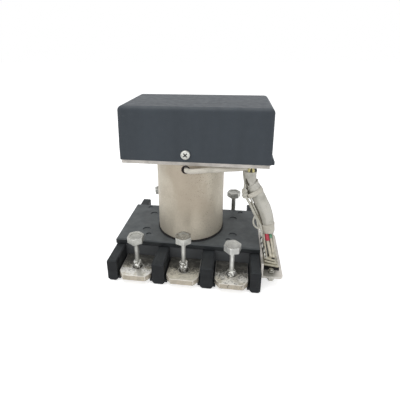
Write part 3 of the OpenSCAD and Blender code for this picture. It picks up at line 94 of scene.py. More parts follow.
def tone(code: str, factor: float = 1.0) -> Colour:
    """Turns a display colour such as #464b52 into the linear colour of a shader.

    Args:
        code: Six hexadecimal digits after a hash.
        factor: Makes the linear colour lighter or darker.

    Returns:
        Linear red, green and blue, each 1 at most, with an alpha of 1.
    """
    parts = [int(code[i:i + 2], 16) / 255 for i in (1, 3, 5)]
    linear = [c / 12.92 if c <= 0.04045 else ((c + 0.055) / 1.055) ** 2.4 for c in parts]
    red, green, blue = (min(c * factor, 1.0) for c in linear)
    return (red, green, blue, 1.0)


# Shaders


class Field:
    """An output in a shader tree, reckoned with like a number."""

    def __init__(self, graph: Graph, socket: Socket) -> None:
        """Keeps the socket and the graph that its results go into."""
        self.graph, self.socket = graph, socket

    def math(self, kind: str, other: Field | float = 0.0) -> Field:
        """Gives the result of a Math node of that kind."""
        return self.graph.math(kind, self, other)

    def __add__(self, other: Field | float) -> Field:
        """Adds another value."""
        return self.math("ADD", other)

    def __sub__(self, other: Field | float) -> Field:
        """Takes another value away."""
        return self.math("SUBTRACT", other)

    def __rsub__(self, other: float) -> Field:
        """Takes this value away from a number."""
        return self.graph.math("SUBTRACT", other, self)

    def __mul__(self, other: Field | float) -> Field:
        """Multiplies by another value."""
        return self.math("MULTIPLY", other)

    def __abs__(self) -> Field:
        """Drops the sign."""
        return self.math("ABSOLUTE")

    def span(self, low: float, high: float, to_low: float = 0.0, to_high: float = 1.0) -> Field:
        """Maps the value from one range to another, clamped, with soft ends."""
        return self.graph.value("MapRange", "Result", {"Value": self, "From Min": low, "From Max": high,
                                                       "To Min": to_low, "To Max": to_high},
                                interpolation_type="SMOOTHSTEP")

    def part(self, axis: str) -> Field:
        """Gives one component of a vector, X, Y or Z."""
        return self.graph.value("SeparateXYZ", axis, {0: self})

    def mm(self, axis: str) -> Field:
        """Gives one component of a place, in millimetres."""
        return self.part(axis) * (1 / MM)


class Graph:
    """Adds nodes to one shader tree and links them by socket name."""

    def __init__(self, tree: bpy.types.NodeTree) -> None:
        """Keeps the tree that the nodes go into."""
        self.tree = tree

    def add(self, kind: str, inputs: dict[str | int, object] | None = None, **settings: object) -> bpy.types.Node:
        """Adds a node.

        Args:
            kind: Node type without the leading "ShaderNode".
            inputs: Values or sockets for the node's inputs, by name or number.
            **settings: Attributes of the node itself.

        Returns:
            The new node.
        """
        node = self.tree.nodes.new(kind if kind.startswith("NodeGroup") else "ShaderNode" + kind)
        for key, value in settings.items():
            setattr(node, key, value)
        for key, value in (inputs or {}).items():
            self.feed(node.inputs[key], value)
        return node

    def feed(self, target: Socket, value: object) -> None:
        """Links a field to the target socket, or sets the target's own value."""
        if isinstance(value, Field):
            self.tree.links.new(value.socket, target)
        else:
            target.default_value = value

    def value(self, kind: str, output: str | int, inputs: dict[str | int, object] | None = None,
              **settings: object) -> Field:
        """Adds a node as add does, and gives one of its outputs."""
        return Field(self, self.add(kind, inputs, **settings).outputs[output])

    def math(self, kind: str, first: Field | float, second: Field | float = 0.0) -> Field:
        """Gives the result of a Math node of that kind."""
        return self.value("Math", 0, {0: first, 1: second}, operation=kind)

    def place(self, offset: Sequence[float] = (0, 0, 0), turn: Sequence[float] = (0, 0, 0),
              scale: Sequence[float] = (1, 1, 1), source: str = "Object") -> Field:
        """Gives the coordinates of a pattern.

        Args:
            offset: Shift of the pattern.
            turn: Turn of the pattern, in radians.
            scale: Stretch of the pattern.
            source: "Object" for the place in the frame, or "UV" for the piece's own map.

        Returns:
            The vector.
        """
        return self.value("Mapping", "Vector", {"Vector": self.value("TexCoord", source), "Location": offset,
                                                "Rotation": turn, "Scale": scale})

    def facing(self, axis: str) -> Field:
        """Gives how far a face looks along an axis, from -1 to 1."""
        return self.value("TexCoord", "Normal").part(axis)

    def attribute(self, name: str) -> Field:
        """Gives a number that the piece's mesh carries."""
        return self.value("Attribute", "Fac", attribute_name=name)

    def cloud(self, where: Field, scale: Field | float, detail: float = 3.0, rough: float = 0.55) -> Field:
        """Gives soft noise from 0 to 1, about one blotch for each 1 / scale metres."""
        return self.value("TexNoise", "Fac", {"Vector": where, "Scale": scale, "Detail": detail, "Roughness": rough})

    def blend(self, factor: Field, first: object, second: object) -> Field:
        """Gives a colour between two colours, by a factor."""
        return self.value("Mix", 2, {0: factor, 6: first, 7: second}, data_type="RGBA", blend_type="MIX")

    def mottle(self, pattern: Field, low: float, high: float, code: str, dark: float, light: float) -> Field:
        """Gives a colour that goes from darker to lighter as a pattern rises.

        Args:
            pattern: The pattern, such as soft noise.
            low: Value of the pattern at the darkest colour.
            high: Value of the pattern at the lightest colour.
            code: The display colour.
            dark: Factor of the darkest colour.
            light: Factor of the lightest colour.

        Returns:
            The mottled colour.
        """
        return self.blend(pattern.span(low, high), tone(code, dark), tone(code, light))

    def stack(self, base: Field, *layers: tuple[Field, object]) -> Field:
        """Lays colours over a base colour, each where its mask is 1."""
        for mask, colour in layers:
            base = self.blend(mask, base, colour)
        return base

    def effect(self, effect: Effect, place: Field, *amounts: float, output: str = "Mask") -> Field:
        """Places a shared effect with its own amounts, and gives one of its outputs."""
        return self.value("Group", output, dict(zip(effect.takes, (place, *amounts))), node_tree=effect.tree())

    def direct_rays(self) -> Field:
        """Gives 1 for rays from the camera, from a mirror and through glass, else 0."""
        path = self.add("LightPath")
        camera, glossy, through = (Field(self, path.outputs[f"Is {kind} Ray"])
                                   for kind in ("Camera", "Glossy", "Transmission"))
        return camera.math("MAXIMUM", glossy.math("MAXIMUM", through))


@dataclass(frozen=True)
class Effect:
    """A shared effect, built once as a node group and placed in many materials."""

    name: str
    takes: tuple[str, ...]
    gives: tuple[str, ...]
    recipe: Callable[..., tuple[Field, ...]]

    def tree(self) -> bpy.types.NodeTree:
        """Gives the node group, and builds it the first time."""
        found = bpy.data.node_groups.get(self.name)
        if found is not None:
            return found
        tree = bpy.data.node_groups.new(self.name, "ShaderNodeTree")
        for side, keys in (("INPUT", self.takes), ("OUTPUT", self.gives)):
            for key in keys:
                kind = "NodeSocketVector" if key == "Place" else "NodeSocketFloat"
                tree.interface.new_socket(name=key, in_out=side, socket_type=kind)
        graph = Graph(tree)
        start, end = graph.add("NodeGroupInput"), graph.add("NodeGroupOutput")
        made = self.recipe(graph, *(Field(graph, start.outputs[key]) for key in self.takes))
        for key, value in zip(self.gives, made):
            graph.feed(end.inputs[key], value)
        return tree


def worn_edge(graph: Graph, place: Field, scale: Field, amount: Field) -> tuple[Field, ...]:
    """Edge wear: the softened edges of a piece, broken up by noise."""
    over = graph.cloud(place, scale, 4.0, 0.65) - (1.0 - amount) * 0.62
    return (graph.attribute("edge") * over.span(0.0, 0.12),)


def dust_and_top_sheen(graph: Graph, place: Field, scale: Field, amount: Field) -> tuple[Field, ...]:
    """Dust on faces that look up, thicker in patches, which also paints a lighter top sheen where light falls from
    above.
    """
    patch = graph.cloud(place, scale, 5.0, 0.6).span(0.25, 0.75, 0.55, 1.0)
    return (graph.facing("Z").span(0.35, 1.0) * patch * amount,)


def fine_grain(graph: Graph, place: Field, scale: Field) -> tuple[Field, ...]:
    """Two sizes of grain for bump, and the coarse one for small changes of gloss."""
    coarse = graph.cloud(place, scale * 0.12, 3.0, 0.6)
    return graph.cloud(place, scale, 2.0, 0.5) + coarse, coarse


def fine_scratches(graph: Graph, place: Field, scale: Field, amount: Field) -> tuple[Field, ...]:
    """Thin straight scratches in two directions."""
    lines = []
    for turn, stretch in (((0.3, 0.9, 0.4), (1, 0.03, 1)), ((1.1, 0.2, -0.7), (0.035, 1, 1))):
        turned_place = graph.value("Mapping", "Vector", {"Vector": place, "Rotation": turn, "Scale": stretch})
        cell = graph.value("TexVoronoi", "Distance", {"Vector": turned_place, "Scale": scale},
                           feature="DISTANCE_TO_EDGE")
        lines.append(cell.span(0.0, 0.018, 1.0, 0.0))
    gate = graph.cloud(place, scale * 0.35, 2.0, 0.5).span(0.5, 0.68)
    return (lines[0].math("MAXIMUM", lines[1]) * gate * amount,)


def plain_weave(graph: Graph, place: Field, threads: Field) -> tuple[Field, ...]:
    """Over-and-under weave on a piece's own map, which counts in millimetres."""
    scaled = graph.value("VectorMath", "Vector", {0: place, "Scale": threads}, operation="SCALE")
    across, along = scaled.part("X"), scaled.part("Y")
    warp, weft = (abs((way * math.pi).math("SINE")) for way in (across, along))
    over = abs((across.math("FLOOR") + along.math("FLOOR")).math("MODULO", 2.0))
    lifted = warp * over + weft * (1.0 - over)
    return lifted + warp * weft * 0.5, lifted.span(0.1, 0.8)


MASK_TAKES = ("Place", "Scale", "Amount")
WEAR = Effect("Worn edge", MASK_TAKES, ("Mask",), worn_edge)
DUST_AND_SHEEN = Effect("Dust and top sheen", MASK_TAKES, ("Mask",), dust_and_top_sheen)
SCRATCHES = Effect("Fine scratches", MASK_TAKES, ("Mask",), fine_scratches)
GRAIN = Effect("Fine grain", ("Place", "Scale"), ("Height", "Gloss"), fine_grain)
WEAVE = Effect("Plain weave", ("Place", "Threads"), ("Height", "Shade"), plain_weave)


@dataclass(frozen=True)
class Finish:
    """A finish with its main colour, gloss and grain."""

    name: str
    colour: str
    rough: float = 0.5
    metal: float = 0.0
    grain: float = 2500.0
    bump: float = 0.15
    specular: float = 0.5

    def build(self) -> bpy.types.Material:
        """Makes the material.

        Returns:
            The finished material.
        """
        material = bpy.data.materials.new(self.name)
        material.use_nodes = True
        graph = Graph(material.node_tree)
        place = graph.place()
        bump = graph.value("Bump", "Normal", {"Height": self.relief(graph, place), "Strength": self.bump,
                                              "Distance": 0.0002})
        sockets = {"Metallic": self.metal, "Specular IOR Level": self.specular, "Normal": bump,
                   "Base Color": self.paint(graph, place), "Roughness": self.gloss(graph, place), **self.trim()}
        for key, value in sockets.items():
            graph.feed(graph.tree.nodes["Principled BSDF"].inputs[key], value)
        return material

    def paint(self, graph: Graph, place: Field) -> Field:
        """Gives the colour: a little lighter and darker in soft blotches."""
        return graph.mottle(graph.cloud(place, 120.0, 4.0), 0.3, 0.7, self.colour, 0.86, 1.06)

    def gloss(self, graph: Graph, place: Field) -> Field:
        """Gives the roughness, which changes a little with the coarse grain."""
        coarse = graph.effect(GRAIN, place, self.grain, output="Gloss")
        return coarse.span(0.3, 0.7, self.rough - 0.06, self.rough + 0.08)

    def relief(self, graph: Graph, place: Field) -> Field:
        """Gives the height that the bump reads."""
        return graph.effect(GRAIN, place, self.grain, output="Height")

    def trim(self) -> dict[str, float]:
        """Gives the values of the sockets that only some finishes use."""
        return {}


@dataclass(frozen=True)
class SatinPaint(Finish):
    """Sprayed satin enamel on sheet metal: scuffs, dust with a painted top sheen, and worn edges."""

    worn: str = "#8f9496"
    dust_and_sheen: str = "#85888a"
    dust_and_sheen_amount: float = 0.13

    def paint(self, graph: Graph, place: Field) -> Field:
        """Gives the paint with its faint runs, dust with painted top sheen, short scuffs, specks and bare edges."""
        runs = graph.cloud(graph.place(scale=(1.0, 1.0, 0.18)), 55.0, 4.0)
        short = graph.cloud(place, 170.0, 2.0).span(0.56, 0.64)
        return graph.stack(
            graph.mottle(runs, 0.3, 0.72, self.colour, 0.9, 1.1),
            # dust with a painted top sheen: faces that look up are painted lighter
            (graph.effect(DUST_AND_SHEEN, place, 70.0, self.dust_and_sheen_amount), tone(self.dust_and_sheen)),
            (graph.effect(SCRATCHES, place, 42.0, 0.22) * short, tone(self.worn, 0.5)),
            (graph.cloud(place, 900.0, 1.0).span(0.74, 0.8, 0.0, 0.15), tone(self.worn, 0.6)),
            (graph.effect(WEAR, place, 240.0, 0.3), tone(self.worn)))


@dataclass(frozen=True)
class Moulding(Finish):
    """Moulded thermoset: flow marks, dust with a painted top sheen, rubbed edges, and painted light on the walls in the
    shaded pockets.
    """

    dust_and_sheen: str = "#6b7074"
    worn: str = "#5c6064"
    dust_and_sheen_amount: float = 0.45
    # colour of the painted light on the pocket walls, which sit in shade
    pocket_painted_light: str = "#66686a"

    def paint(self, graph: Graph, place: Field) -> Field:
        """Gives the moulding's colour with flow marks, painted light on the pocket walls, dust with painted top sheen,
        specks and rubbed edges.
        """
        flow = graph.cloud(graph.place(scale=(0.6, 1.0, 1.6), turn=(0.2, 0.0, 0.5)), 90.0, 5.0, 0.6)
        # painted light: the walls of the pockets under the top plate sit in shade and are painted paler
        inner = abs(place.mm("Y")).span(45.0, 47.0, 1.0, 0.0) * place.mm("Z").span(17.4, 18.2, 1.0, 0.0)
        inner = inner * abs(place.mm("X")).span(56.0, 56.6, 1.0, 0.0)
        return graph.stack(
            graph.mottle(flow, 0.32, 0.7, self.colour, 0.78, 1.25),
            (inner * abs(graph.facing("Y")).span(0.6, 0.9, 0.15, 0.85), tone(self.pocket_painted_light)),
            # dust with a painted top sheen: faces that look up are painted lighter
            (graph.effect(DUST_AND_SHEEN, place, 110.0, self.dust_and_sheen_amount), tone(self.dust_and_sheen)),
            (graph.cloud(place, 1300.0, 1.0).span(0.7, 0.77, 0.0, 0.3), tone(self.worn)),
            (graph.effect(SCRATCHES, place, 60.0, 0.16), tone(self.worn)),
            (graph.effect(WEAR, place, 300.0, 0.45) * 0.7, tone(self.worn)))


@dataclass(frozen=True)
class SpeckledPlate(Finish):
    """Dull nickel plate on the drawn can: fine mottling, faint streaks, pits and a brown bloom."""

    dark: str = "#7d766a"
    bloom: str = "#a69a89"

    def paint(self, graph: Graph, place: Field) -> Field:
        """Gives the plate with its mottling, streaks, bloom and pits."""
        across = place.mm("X")
        streak = graph.cloud(graph.place(scale=(1.0, 1.0, 0.08)), 130.0, 3.0)
        wander = graph.cloud(graph.place(offset=(0.13, 0.02, 0.0)), 45.0, 3.0).span(0.3, 0.7, -6.0, 6.0)
        veil = abs(across - 1.0 + wander).span(8.0, 24.0, 1.0, 0.0) * place.mm("Z").span(30.0, 58.0, 0.1, 1.0)
        pits = graph.value("TexVoronoi", "Distance", {"Vector": place, "Scale": 760.0, "Randomness": 1.0},
                           feature="F1").span(0.12, 0.3, 1.0, 0.0)
        gate = graph.cloud(place, 70.0, 3.0).span(0.4, 0.6, 0.15, 0.95)
        return graph.stack(
            graph.mottle(graph.cloud(place, 900.0, 3.0, 0.7), 0.36, 0.64, self.colour, 0.93, 1.06),
            (streak.span(0.35, 0.7, 0.0, 0.22), tone(self.colour, 0.86)),
            (veil * 0.8, tone(self.bloom)),
            (pits * gate * across.span(-4.0, 10.0, 0.3, 1.0), tone(self.dark)))


@dataclass(frozen=True)
class PlatedMetal(Finish):
    """Plated metal with tarnish in patches, fine scratches and bright rubbed edges."""

    stain: str = "#6e6656"
    stained: float = 0.25
    scale: float = 300.0
    bright: str = "#deded8"
    mottled: float = 0.1

    def paint(self, graph: Graph, place: Field) -> Field:
        """Gives the plating with patches, dots of tarnish, scratches and bright edges."""
        patch = graph.cloud(place, self.scale * 0.4, 4.0, 0.6)
        spots = graph.cloud(place, self.scale, 4.0, 0.65)
        return graph.stack(
            graph.mottle(patch, 0.3, 0.7, self.colour, 1.0 - 2 * self.mottled, 1.0 + self.mottled),
            (spots.span(0.56, 0.76, 0.0, self.stained), tone(self.stain)),
            (graph.effect(SCRATCHES, place, 150.0, 0.14), tone(self.bright)),
            (graph.effect(WEAR, place, 500.0, 0.55), tone(self.bright)))

    def gloss(self, graph: Graph, place: Field) -> Field:
        """Gives the roughness, higher where the tarnish sits."""
        return graph.cloud(place, self.scale, 4.0, 0.65).span(0.35, 0.75, self.rough - 0.04, self.rough + 0.14)


@dataclass(frozen=True)
class BoltZinc(PlatedMetal):
    """Zinc-plated bolt: a stained dish in its head with painted glints, painted glints on its thread, and grime with
    painted shade on the foot of its thread.
    """

    grime: str = "#454138"
    head_z: float = 31.0
    dish: float = 0.2
    dish_z: float = 4.0
    thread_l: float = 17.6
    grime_and_shade_z: float = 10.6
    glint: str = "#f4f4ef"
    groove_shade: str = "#5f5c52"

    def paint(self, graph: Graph, place: Field) -> Field:
        """Gives the plating with painted glints and groove shade on the thread, grime with painted shade below, the
        dish's stain and painted glints in the dish.
        """
        height = place.mm("Z")
        level = height + graph.cloud(place, 700.0, 3.0, 0.7) * 2.4
        thread_z, dish_z = self.head_z - self.thread_l, self.head_z + self.dish_z
        flash = graph.cloud(place, 640.0, 2.0, 0.6).span(0.44, 0.56)
        up = graph.facing("Z").span(0.9, 0.99)
        bloom = graph.cloud(place, 480.0, 4.0, 0.75).span(0.38, 0.6, 0.25, 1.0)
        dish_glints = graph.cloud(place, 1050.0, 2.0, 0.6).span(0.6, 0.68, 0.0, 0.75)
        return graph.stack(
            super().paint(graph, place),
            # painted glints on the thread, with painted shade in its grooves
            (height.span(thread_z, thread_z + 0.4, 0.85, 0.0), graph.blend(flash, tone(self.groove_shade), tone(self.glint))),
            # grime and painted shade at the foot of the thread, where it goes into the terminal
            (level.span(self.grime_and_shade_z - 0.6, self.grime_and_shade_z + 2.0, 0.8, 0.0), tone(self.grime)),
            (height.span(dish_z, dish_z + 0.3) * up * bloom * self.dish, tone(self.stain)),
            # painted glints: white dots in the dish
            (dish_glints * up, tone(self.glint)))


@dataclass(frozen=True)
class GrimedShadowedShelf(PlatedMetal):
    """Plated shelf with oily grime and painted shadow round the nuts of the connector, beside its clamp."""

    nut_x: float = 62.4
    middle_y: float = -17.0
    nut_reach: float = 23.8
    grime: str = "#7b7a72"

    def paint(self, graph: Graph, place: Field) -> Field:
        """Gives the plating with a dark patch of grime and painted shadow round each nut."""
        off_x = place.mm("X") - self.nut_x
        off_y = abs(place.mm("Y") - self.middle_y) - self.nut_reach
        ragged = (off_x * off_x + off_y * off_y).math("SQRT") + graph.cloud(place, 260.0, 4.0) * 3.0
        return graph.stack(super().paint(graph, place), (ragged.span(5.5, 9.0, 0.8, 0.0), tone(self.grime)))


@dataclass(frozen=True)
class TinnedBar(Finish):
    """Tinned terminal: dark oxide towards the block, top faces painted lighter as top light, pale bloom on top, dark
    pits and a painted reflection of the bolt.
    """

    oxide: str = "#3b3b37"
    haze: str = "#74716a"
    # colour of the top faces, painted lighter than the sides as top light
    top: str = "#d0cab9"
    white: str = "#f2f0ea"
    pole_x: float = 0.0
    clean_y: float = 50.5
    dark_y: float = 39.0
    bloomed: float = 0.3
    bolt_y: float = 42.6
    slant: float = 0.45
    # strength of the painted reflection of the bolt on the terminal's top
    painted_reflection: float = 0.25
    pitted: float = 0.25

    def paint(self, graph: Graph, place: Field) -> Field:
        """Gives the tin with its painted top light, bloom, painted reflection of the bolt, pits, oxide and rubbed
        edges.
        """
        mottled = graph.cloud(place, 380.0, 4.0, 0.65)
        up = graph.facing("Z").span(0.5, 0.9)
        bloom = graph.cloud(graph.place(offset=(0.4, 0.1, 0.0)), 130.0, 3.0, 0.6).span(0.36, 0.52)
        # painted reflection: a dark line on the top, running from the bolt forward and aside
        reach = abs(place.mm("Y"))
        off = place.mm("X") - ((reach - self.bolt_y) * self.slant + (self.pole_x + 0.8))
        line = abs(off + graph.cloud(place, 240.0, 3.0) * 1.6).span(1.0, 3.6, 1.0, 0.0)
        drift = graph.cloud(place, 190.0, 6.0, 0.75) * 13.0 + graph.cloud(place, 900.0, 2.0, 0.6) * 20.0
        veil = (reach - 16.5 + drift).span(self.dark_y, self.clean_y, 1.0, 0.0)
        streaks = graph.cloud(graph.place(scale=(0.7, 1.3, 1.0)), 300.0, 5.0, 0.7).span(0.4, 0.74)
        return graph.stack(
            graph.mottle(mottled, 0.32, 0.68, self.colour, 0.86, 1.08),
            # painted top light: faces that look up take a lighter copy of the tin
            (up, graph.mottle(mottled, 0.32, 0.68, self.top, 0.84, 1.12)),
            (bloom * up * self.bloomed, tone(self.white)),
            (line * up * self.painted_reflection, tone(self.top, 0.4)),
            (graph.cloud(place, 460.0, 2.0, 0.6).span(0.57, 0.64, 0.0, self.pitted), tone(self.haze, 0.5)),
            (veil * 0.97, graph.blend(streaks, tone(self.oxide), tone(self.haze))),
            (graph.effect(WEAR, place, 260.0, 0.6) * 0.45, tone(self.white)))


@dataclass(frozen=True)
class WovenCloth(Finish):
    """Woven cloth on the piece's own map: threads, fuzz, creases, grime, and soil with painted shade on one flank."""

    threads: float = 1.6
    grime: str = "#8c8878"
    fuzz: float = 0.25

    def paint(self, graph: Graph, place: Field) -> Field:
        """Gives the cloth's threads, lighter where they lie on top and darker as painted shade where they pass under,
        with grime, soil with painted flank shade, and flecks.
        """
        weave = graph.effect(WEAVE, graph.place(source="UV"), self.threads, output="Shade")
        return graph.stack(
            graph.blend(weave, tone(self.colour, 0.8), tone(self.colour, 1.06)),
            (graph.cloud(place, 110.0, 4.0, 0.6).span(0.45, 0.75, 0.0, 0.4), tone(self.grime)),
            # soil with painted shade on the flank of the sleeve
            (graph.attribute("soil_and_shade") * 0.75, tone(self.grime, 0.85)),
            (graph.cloud(place, 1500.0, 2.0).span(0.62, 0.7, 0.0, 0.3), tone(self.colour, 1.25)))

    def relief(self, graph: Graph, place: Field) -> Field:
        """Gives the height of the threads with a little fuzz."""
        weave = graph.effect(WEAVE, graph.place(source="UV"), self.threads, output="Height")
        return weave + super().relief(graph, place) * 0.35

    def trim(self) -> dict[str, float]:
        """Gives the cloth's sheen."""
        return {"Sheen Weight": self.fuzz, "Sheen Roughness": 0.5}


@dataclass(frozen=True)
class WireSkin(Finish):
    """Extruded insulation: glossy and a little dirty."""

    grime: str = "#6d6552"
    dirty: float = 0.45

    def paint(self, graph: Graph, place: Field) -> Field:
        """Gives the insulation with grime in long patches."""
        patch = graph.cloud(graph.place(scale=(1.0, 1.0, 0.4)), 260.0, 4.0, 0.6)
        return graph.stack(graph.mottle(graph.cloud(place, 700.0, 2.0), 0.3, 0.7, self.colour, 0.9, 1.08),
                           (patch.span(0.45, 0.75, 0.0, self.dirty), tone(self.grime)))

    def trim(self) -> dict[str, float]:
        """Gives the skin's thin gloss."""
        return {"Coat Weight": 0.3, "Coat Roughness": 0.25}


class Slot(Enum):
    """Material slots of the record, each with the finish that its solids take."""

    COVER = "cover_paint"
    SHEET = "sheet_metal"
    CAN = "nickel_can"
    PLATED = "plated_steel"
    STEEL = "bare_steel"
    MOULDING = "black_moulding"
    TINNED = "tinned_bar"
    BRASS = "brass_part"
    COPPER = "copper_part"
    GOLD = "gold_contact"
    RUBBER = "seal_rubber"
    WINDING = "coil_wire"
    NATURAL = "natural_plastic"
    BROWN = "brown_plastic"
    BOARD = "board_green"
    RELAY = "relay_blue"
    RED = "red_plastic"
    INSULATOR = "insulator_black"
    CLAMP = "clamp_cream"
    SLEEVE = "sleeve_cloth"
    TAPE = "tie_tape"
    WIRE = "wire_beige"
    MARKS = "wire_marks"
    LACING = "lace_cord"
    LEAD = "lead_sleeve"


FINISHES: dict[Slot, Finish] = {
    Slot.COVER: SatinPaint("slate_enamel", "#3a4046", rough=0.55, grain=1800.0, bump=0.06, specular=0.3),
    Slot.SHEET: PlatedMetal("dull_cadmium", "#b9b4ae", rough=0.46, metal=0.55, grain=1600.0, stain="#8a8078"),
    Slot.CAN: SpeckledPlate("speckled_nickel", "#c1b9a9", rough=0.48, metal=0.5, grain=1500.0, bump=0.2),
    Slot.PLATED: PlatedMetal("bright_zinc", "#c4c4be", rough=0.32, metal=0.85, bump=0.08),
    Slot.STEEL: PlatedMetal("ground_steel", "#8e9094", rough=0.35, metal=1.0, stained=0.2),
    Slot.MOULDING: Moulding("black_moulding", "#1f2123", rough=0.5, grain=1500.0, bump=0.22, dust_and_sheen_amount=0.3,
                            dust_and_sheen="#565a5c", worn="#4a4e50", specular=0.16),
    Slot.TINNED: TinnedBar("stained_tin", "#c0b7a7", rough=0.5, metal=0.3, grain=1200.0, bump=0.35),
    Slot.BRASS: PlatedMetal("satin_brass", "#b08d57", rough=0.35, metal=1.0, bright="#e0c080"),
    Slot.COPPER: PlatedMetal("satin_copper", "#b87050", rough=0.35, metal=1.0, bright="#e8a888"),
    Slot.GOLD: PlatedMetal("bright_gold", "#d0a850", rough=0.2, metal=1.0, stained=0.1, bright="#f0d890"),
    Slot.RUBBER: Finish("seal_rubber_black", "#1d1b1b", rough=0.75, bump=0.3),
    Slot.WINDING: PlatedMetal("varnished_wire", "#8a4220", rough=0.3, metal=0.6, scale=900.0, bright="#b06030"),
    Slot.NATURAL: Finish("natural_nylon", "#d6ceba", rough=0.45),
    Slot.BROWN: Finish("brown_thermoset", "#6b4a33", rough=0.45),
    Slot.BOARD: Finish("green_laminate", "#2f6b3f", rough=0.4, grain=3500.0),
    Slot.RELAY: Finish("blue_case", "#2b3a55", rough=0.3),
    Slot.RED: Finish("red_button", "#b23b2e", rough=0.3),
    Slot.INSULATOR: Finish("black_insulator", "#19191a", rough=0.45),
    Slot.CLAMP: WireSkin("cream_clamp", "#b9b39f", rough=0.2, grain=700.0, bump=0.6, grime="#4b4536", dirty=0.85),
    Slot.SLEEVE: WovenCloth("grey_sleeve", "#d8d5cb", rough=0.85, grain=2600.0, bump=0.5, threads=1.3),
    Slot.TAPE: WovenCloth("tape_cloth", "#d8d3c6", rough=0.8, grain=2600.0, bump=0.4, threads=2.2),
    Slot.WIRE: WireSkin("beige_insulation", "#c3bca9", rough=0.3, dirty=0.5),
    Slot.MARKS: WireSkin("red_marker", "#b5303c", rough=0.4, dirty=0.2),
    Slot.LACING: WovenCloth("waxed_cord", "#cfccc0", rough=0.6, threads=3.0, bump=0.35),
    Slot.LEAD: WovenCloth("lead_braid", "#dcd6c9", rough=0.7, threads=2.4, bump=0.35),
}


@dataclass
class Paintbox:
    """Builds each finish once and hands it out by slot or by name."""

    made: dict[str, bpy.types.Material] = field(default_factory=dict)

    def of(self, finish: Finish | Slot) -> bpy.types.Material:
        """Gives the one material of a finish, or of the finish that a slot takes."""
        chosen = FINISHES[finish] if isinstance(finish, Slot) else finish
        if chosen.name not in self.made:
            self.made[chosen.name] = chosen.build()
        return self.made[chosen.name]


# Meshes


def linked(name: str, data: bpy.types.ID) -> bpy.types.Object:
    """Makes an object of a mesh, camera or lamp and links it to the scene."""
    thing = bpy.data.objects.new(name, data)
    bpy.context.scene.collection.objects.link(thing)
    return thing


def smooth(shape: bmesh.types.BMesh, sharp: float = 40.0) -> None:
    """Shades a shape smoothly, apart from edges sharper than an angle in degrees."""
    for face in shape.faces:
        face.smooth = True
    for edge in shape.edges:
        edge.smooth = edge.calc_face_angle(0.0) < math.radians(sharp)


def grow(shape: bmesh.types.BMesh,
         loop: list[bmesh.types.BMEdge]) -> tuple[list[bmesh.types.BMVert], list[bmesh.types.BMEdge]]:
    """Extrudes a loop of edges in place.

    Args:
        shape: The shape to change.
        loop: The edges of the loop.

    Returns:
        The new corners, and the edges of the new loop.
    """
    made = bmesh.ops.extrude_edge_only(shape, edges=loop)["geom"]
    verts = [g for g in made if isinstance(g, bmesh.types.BMVert)]
    fresh = set(verts)
    return verts, [g for g in made if isinstance(g, bmesh.types.BMEdge) and g.is_boundary
                   and all(v in fresh for v in g.verts)]


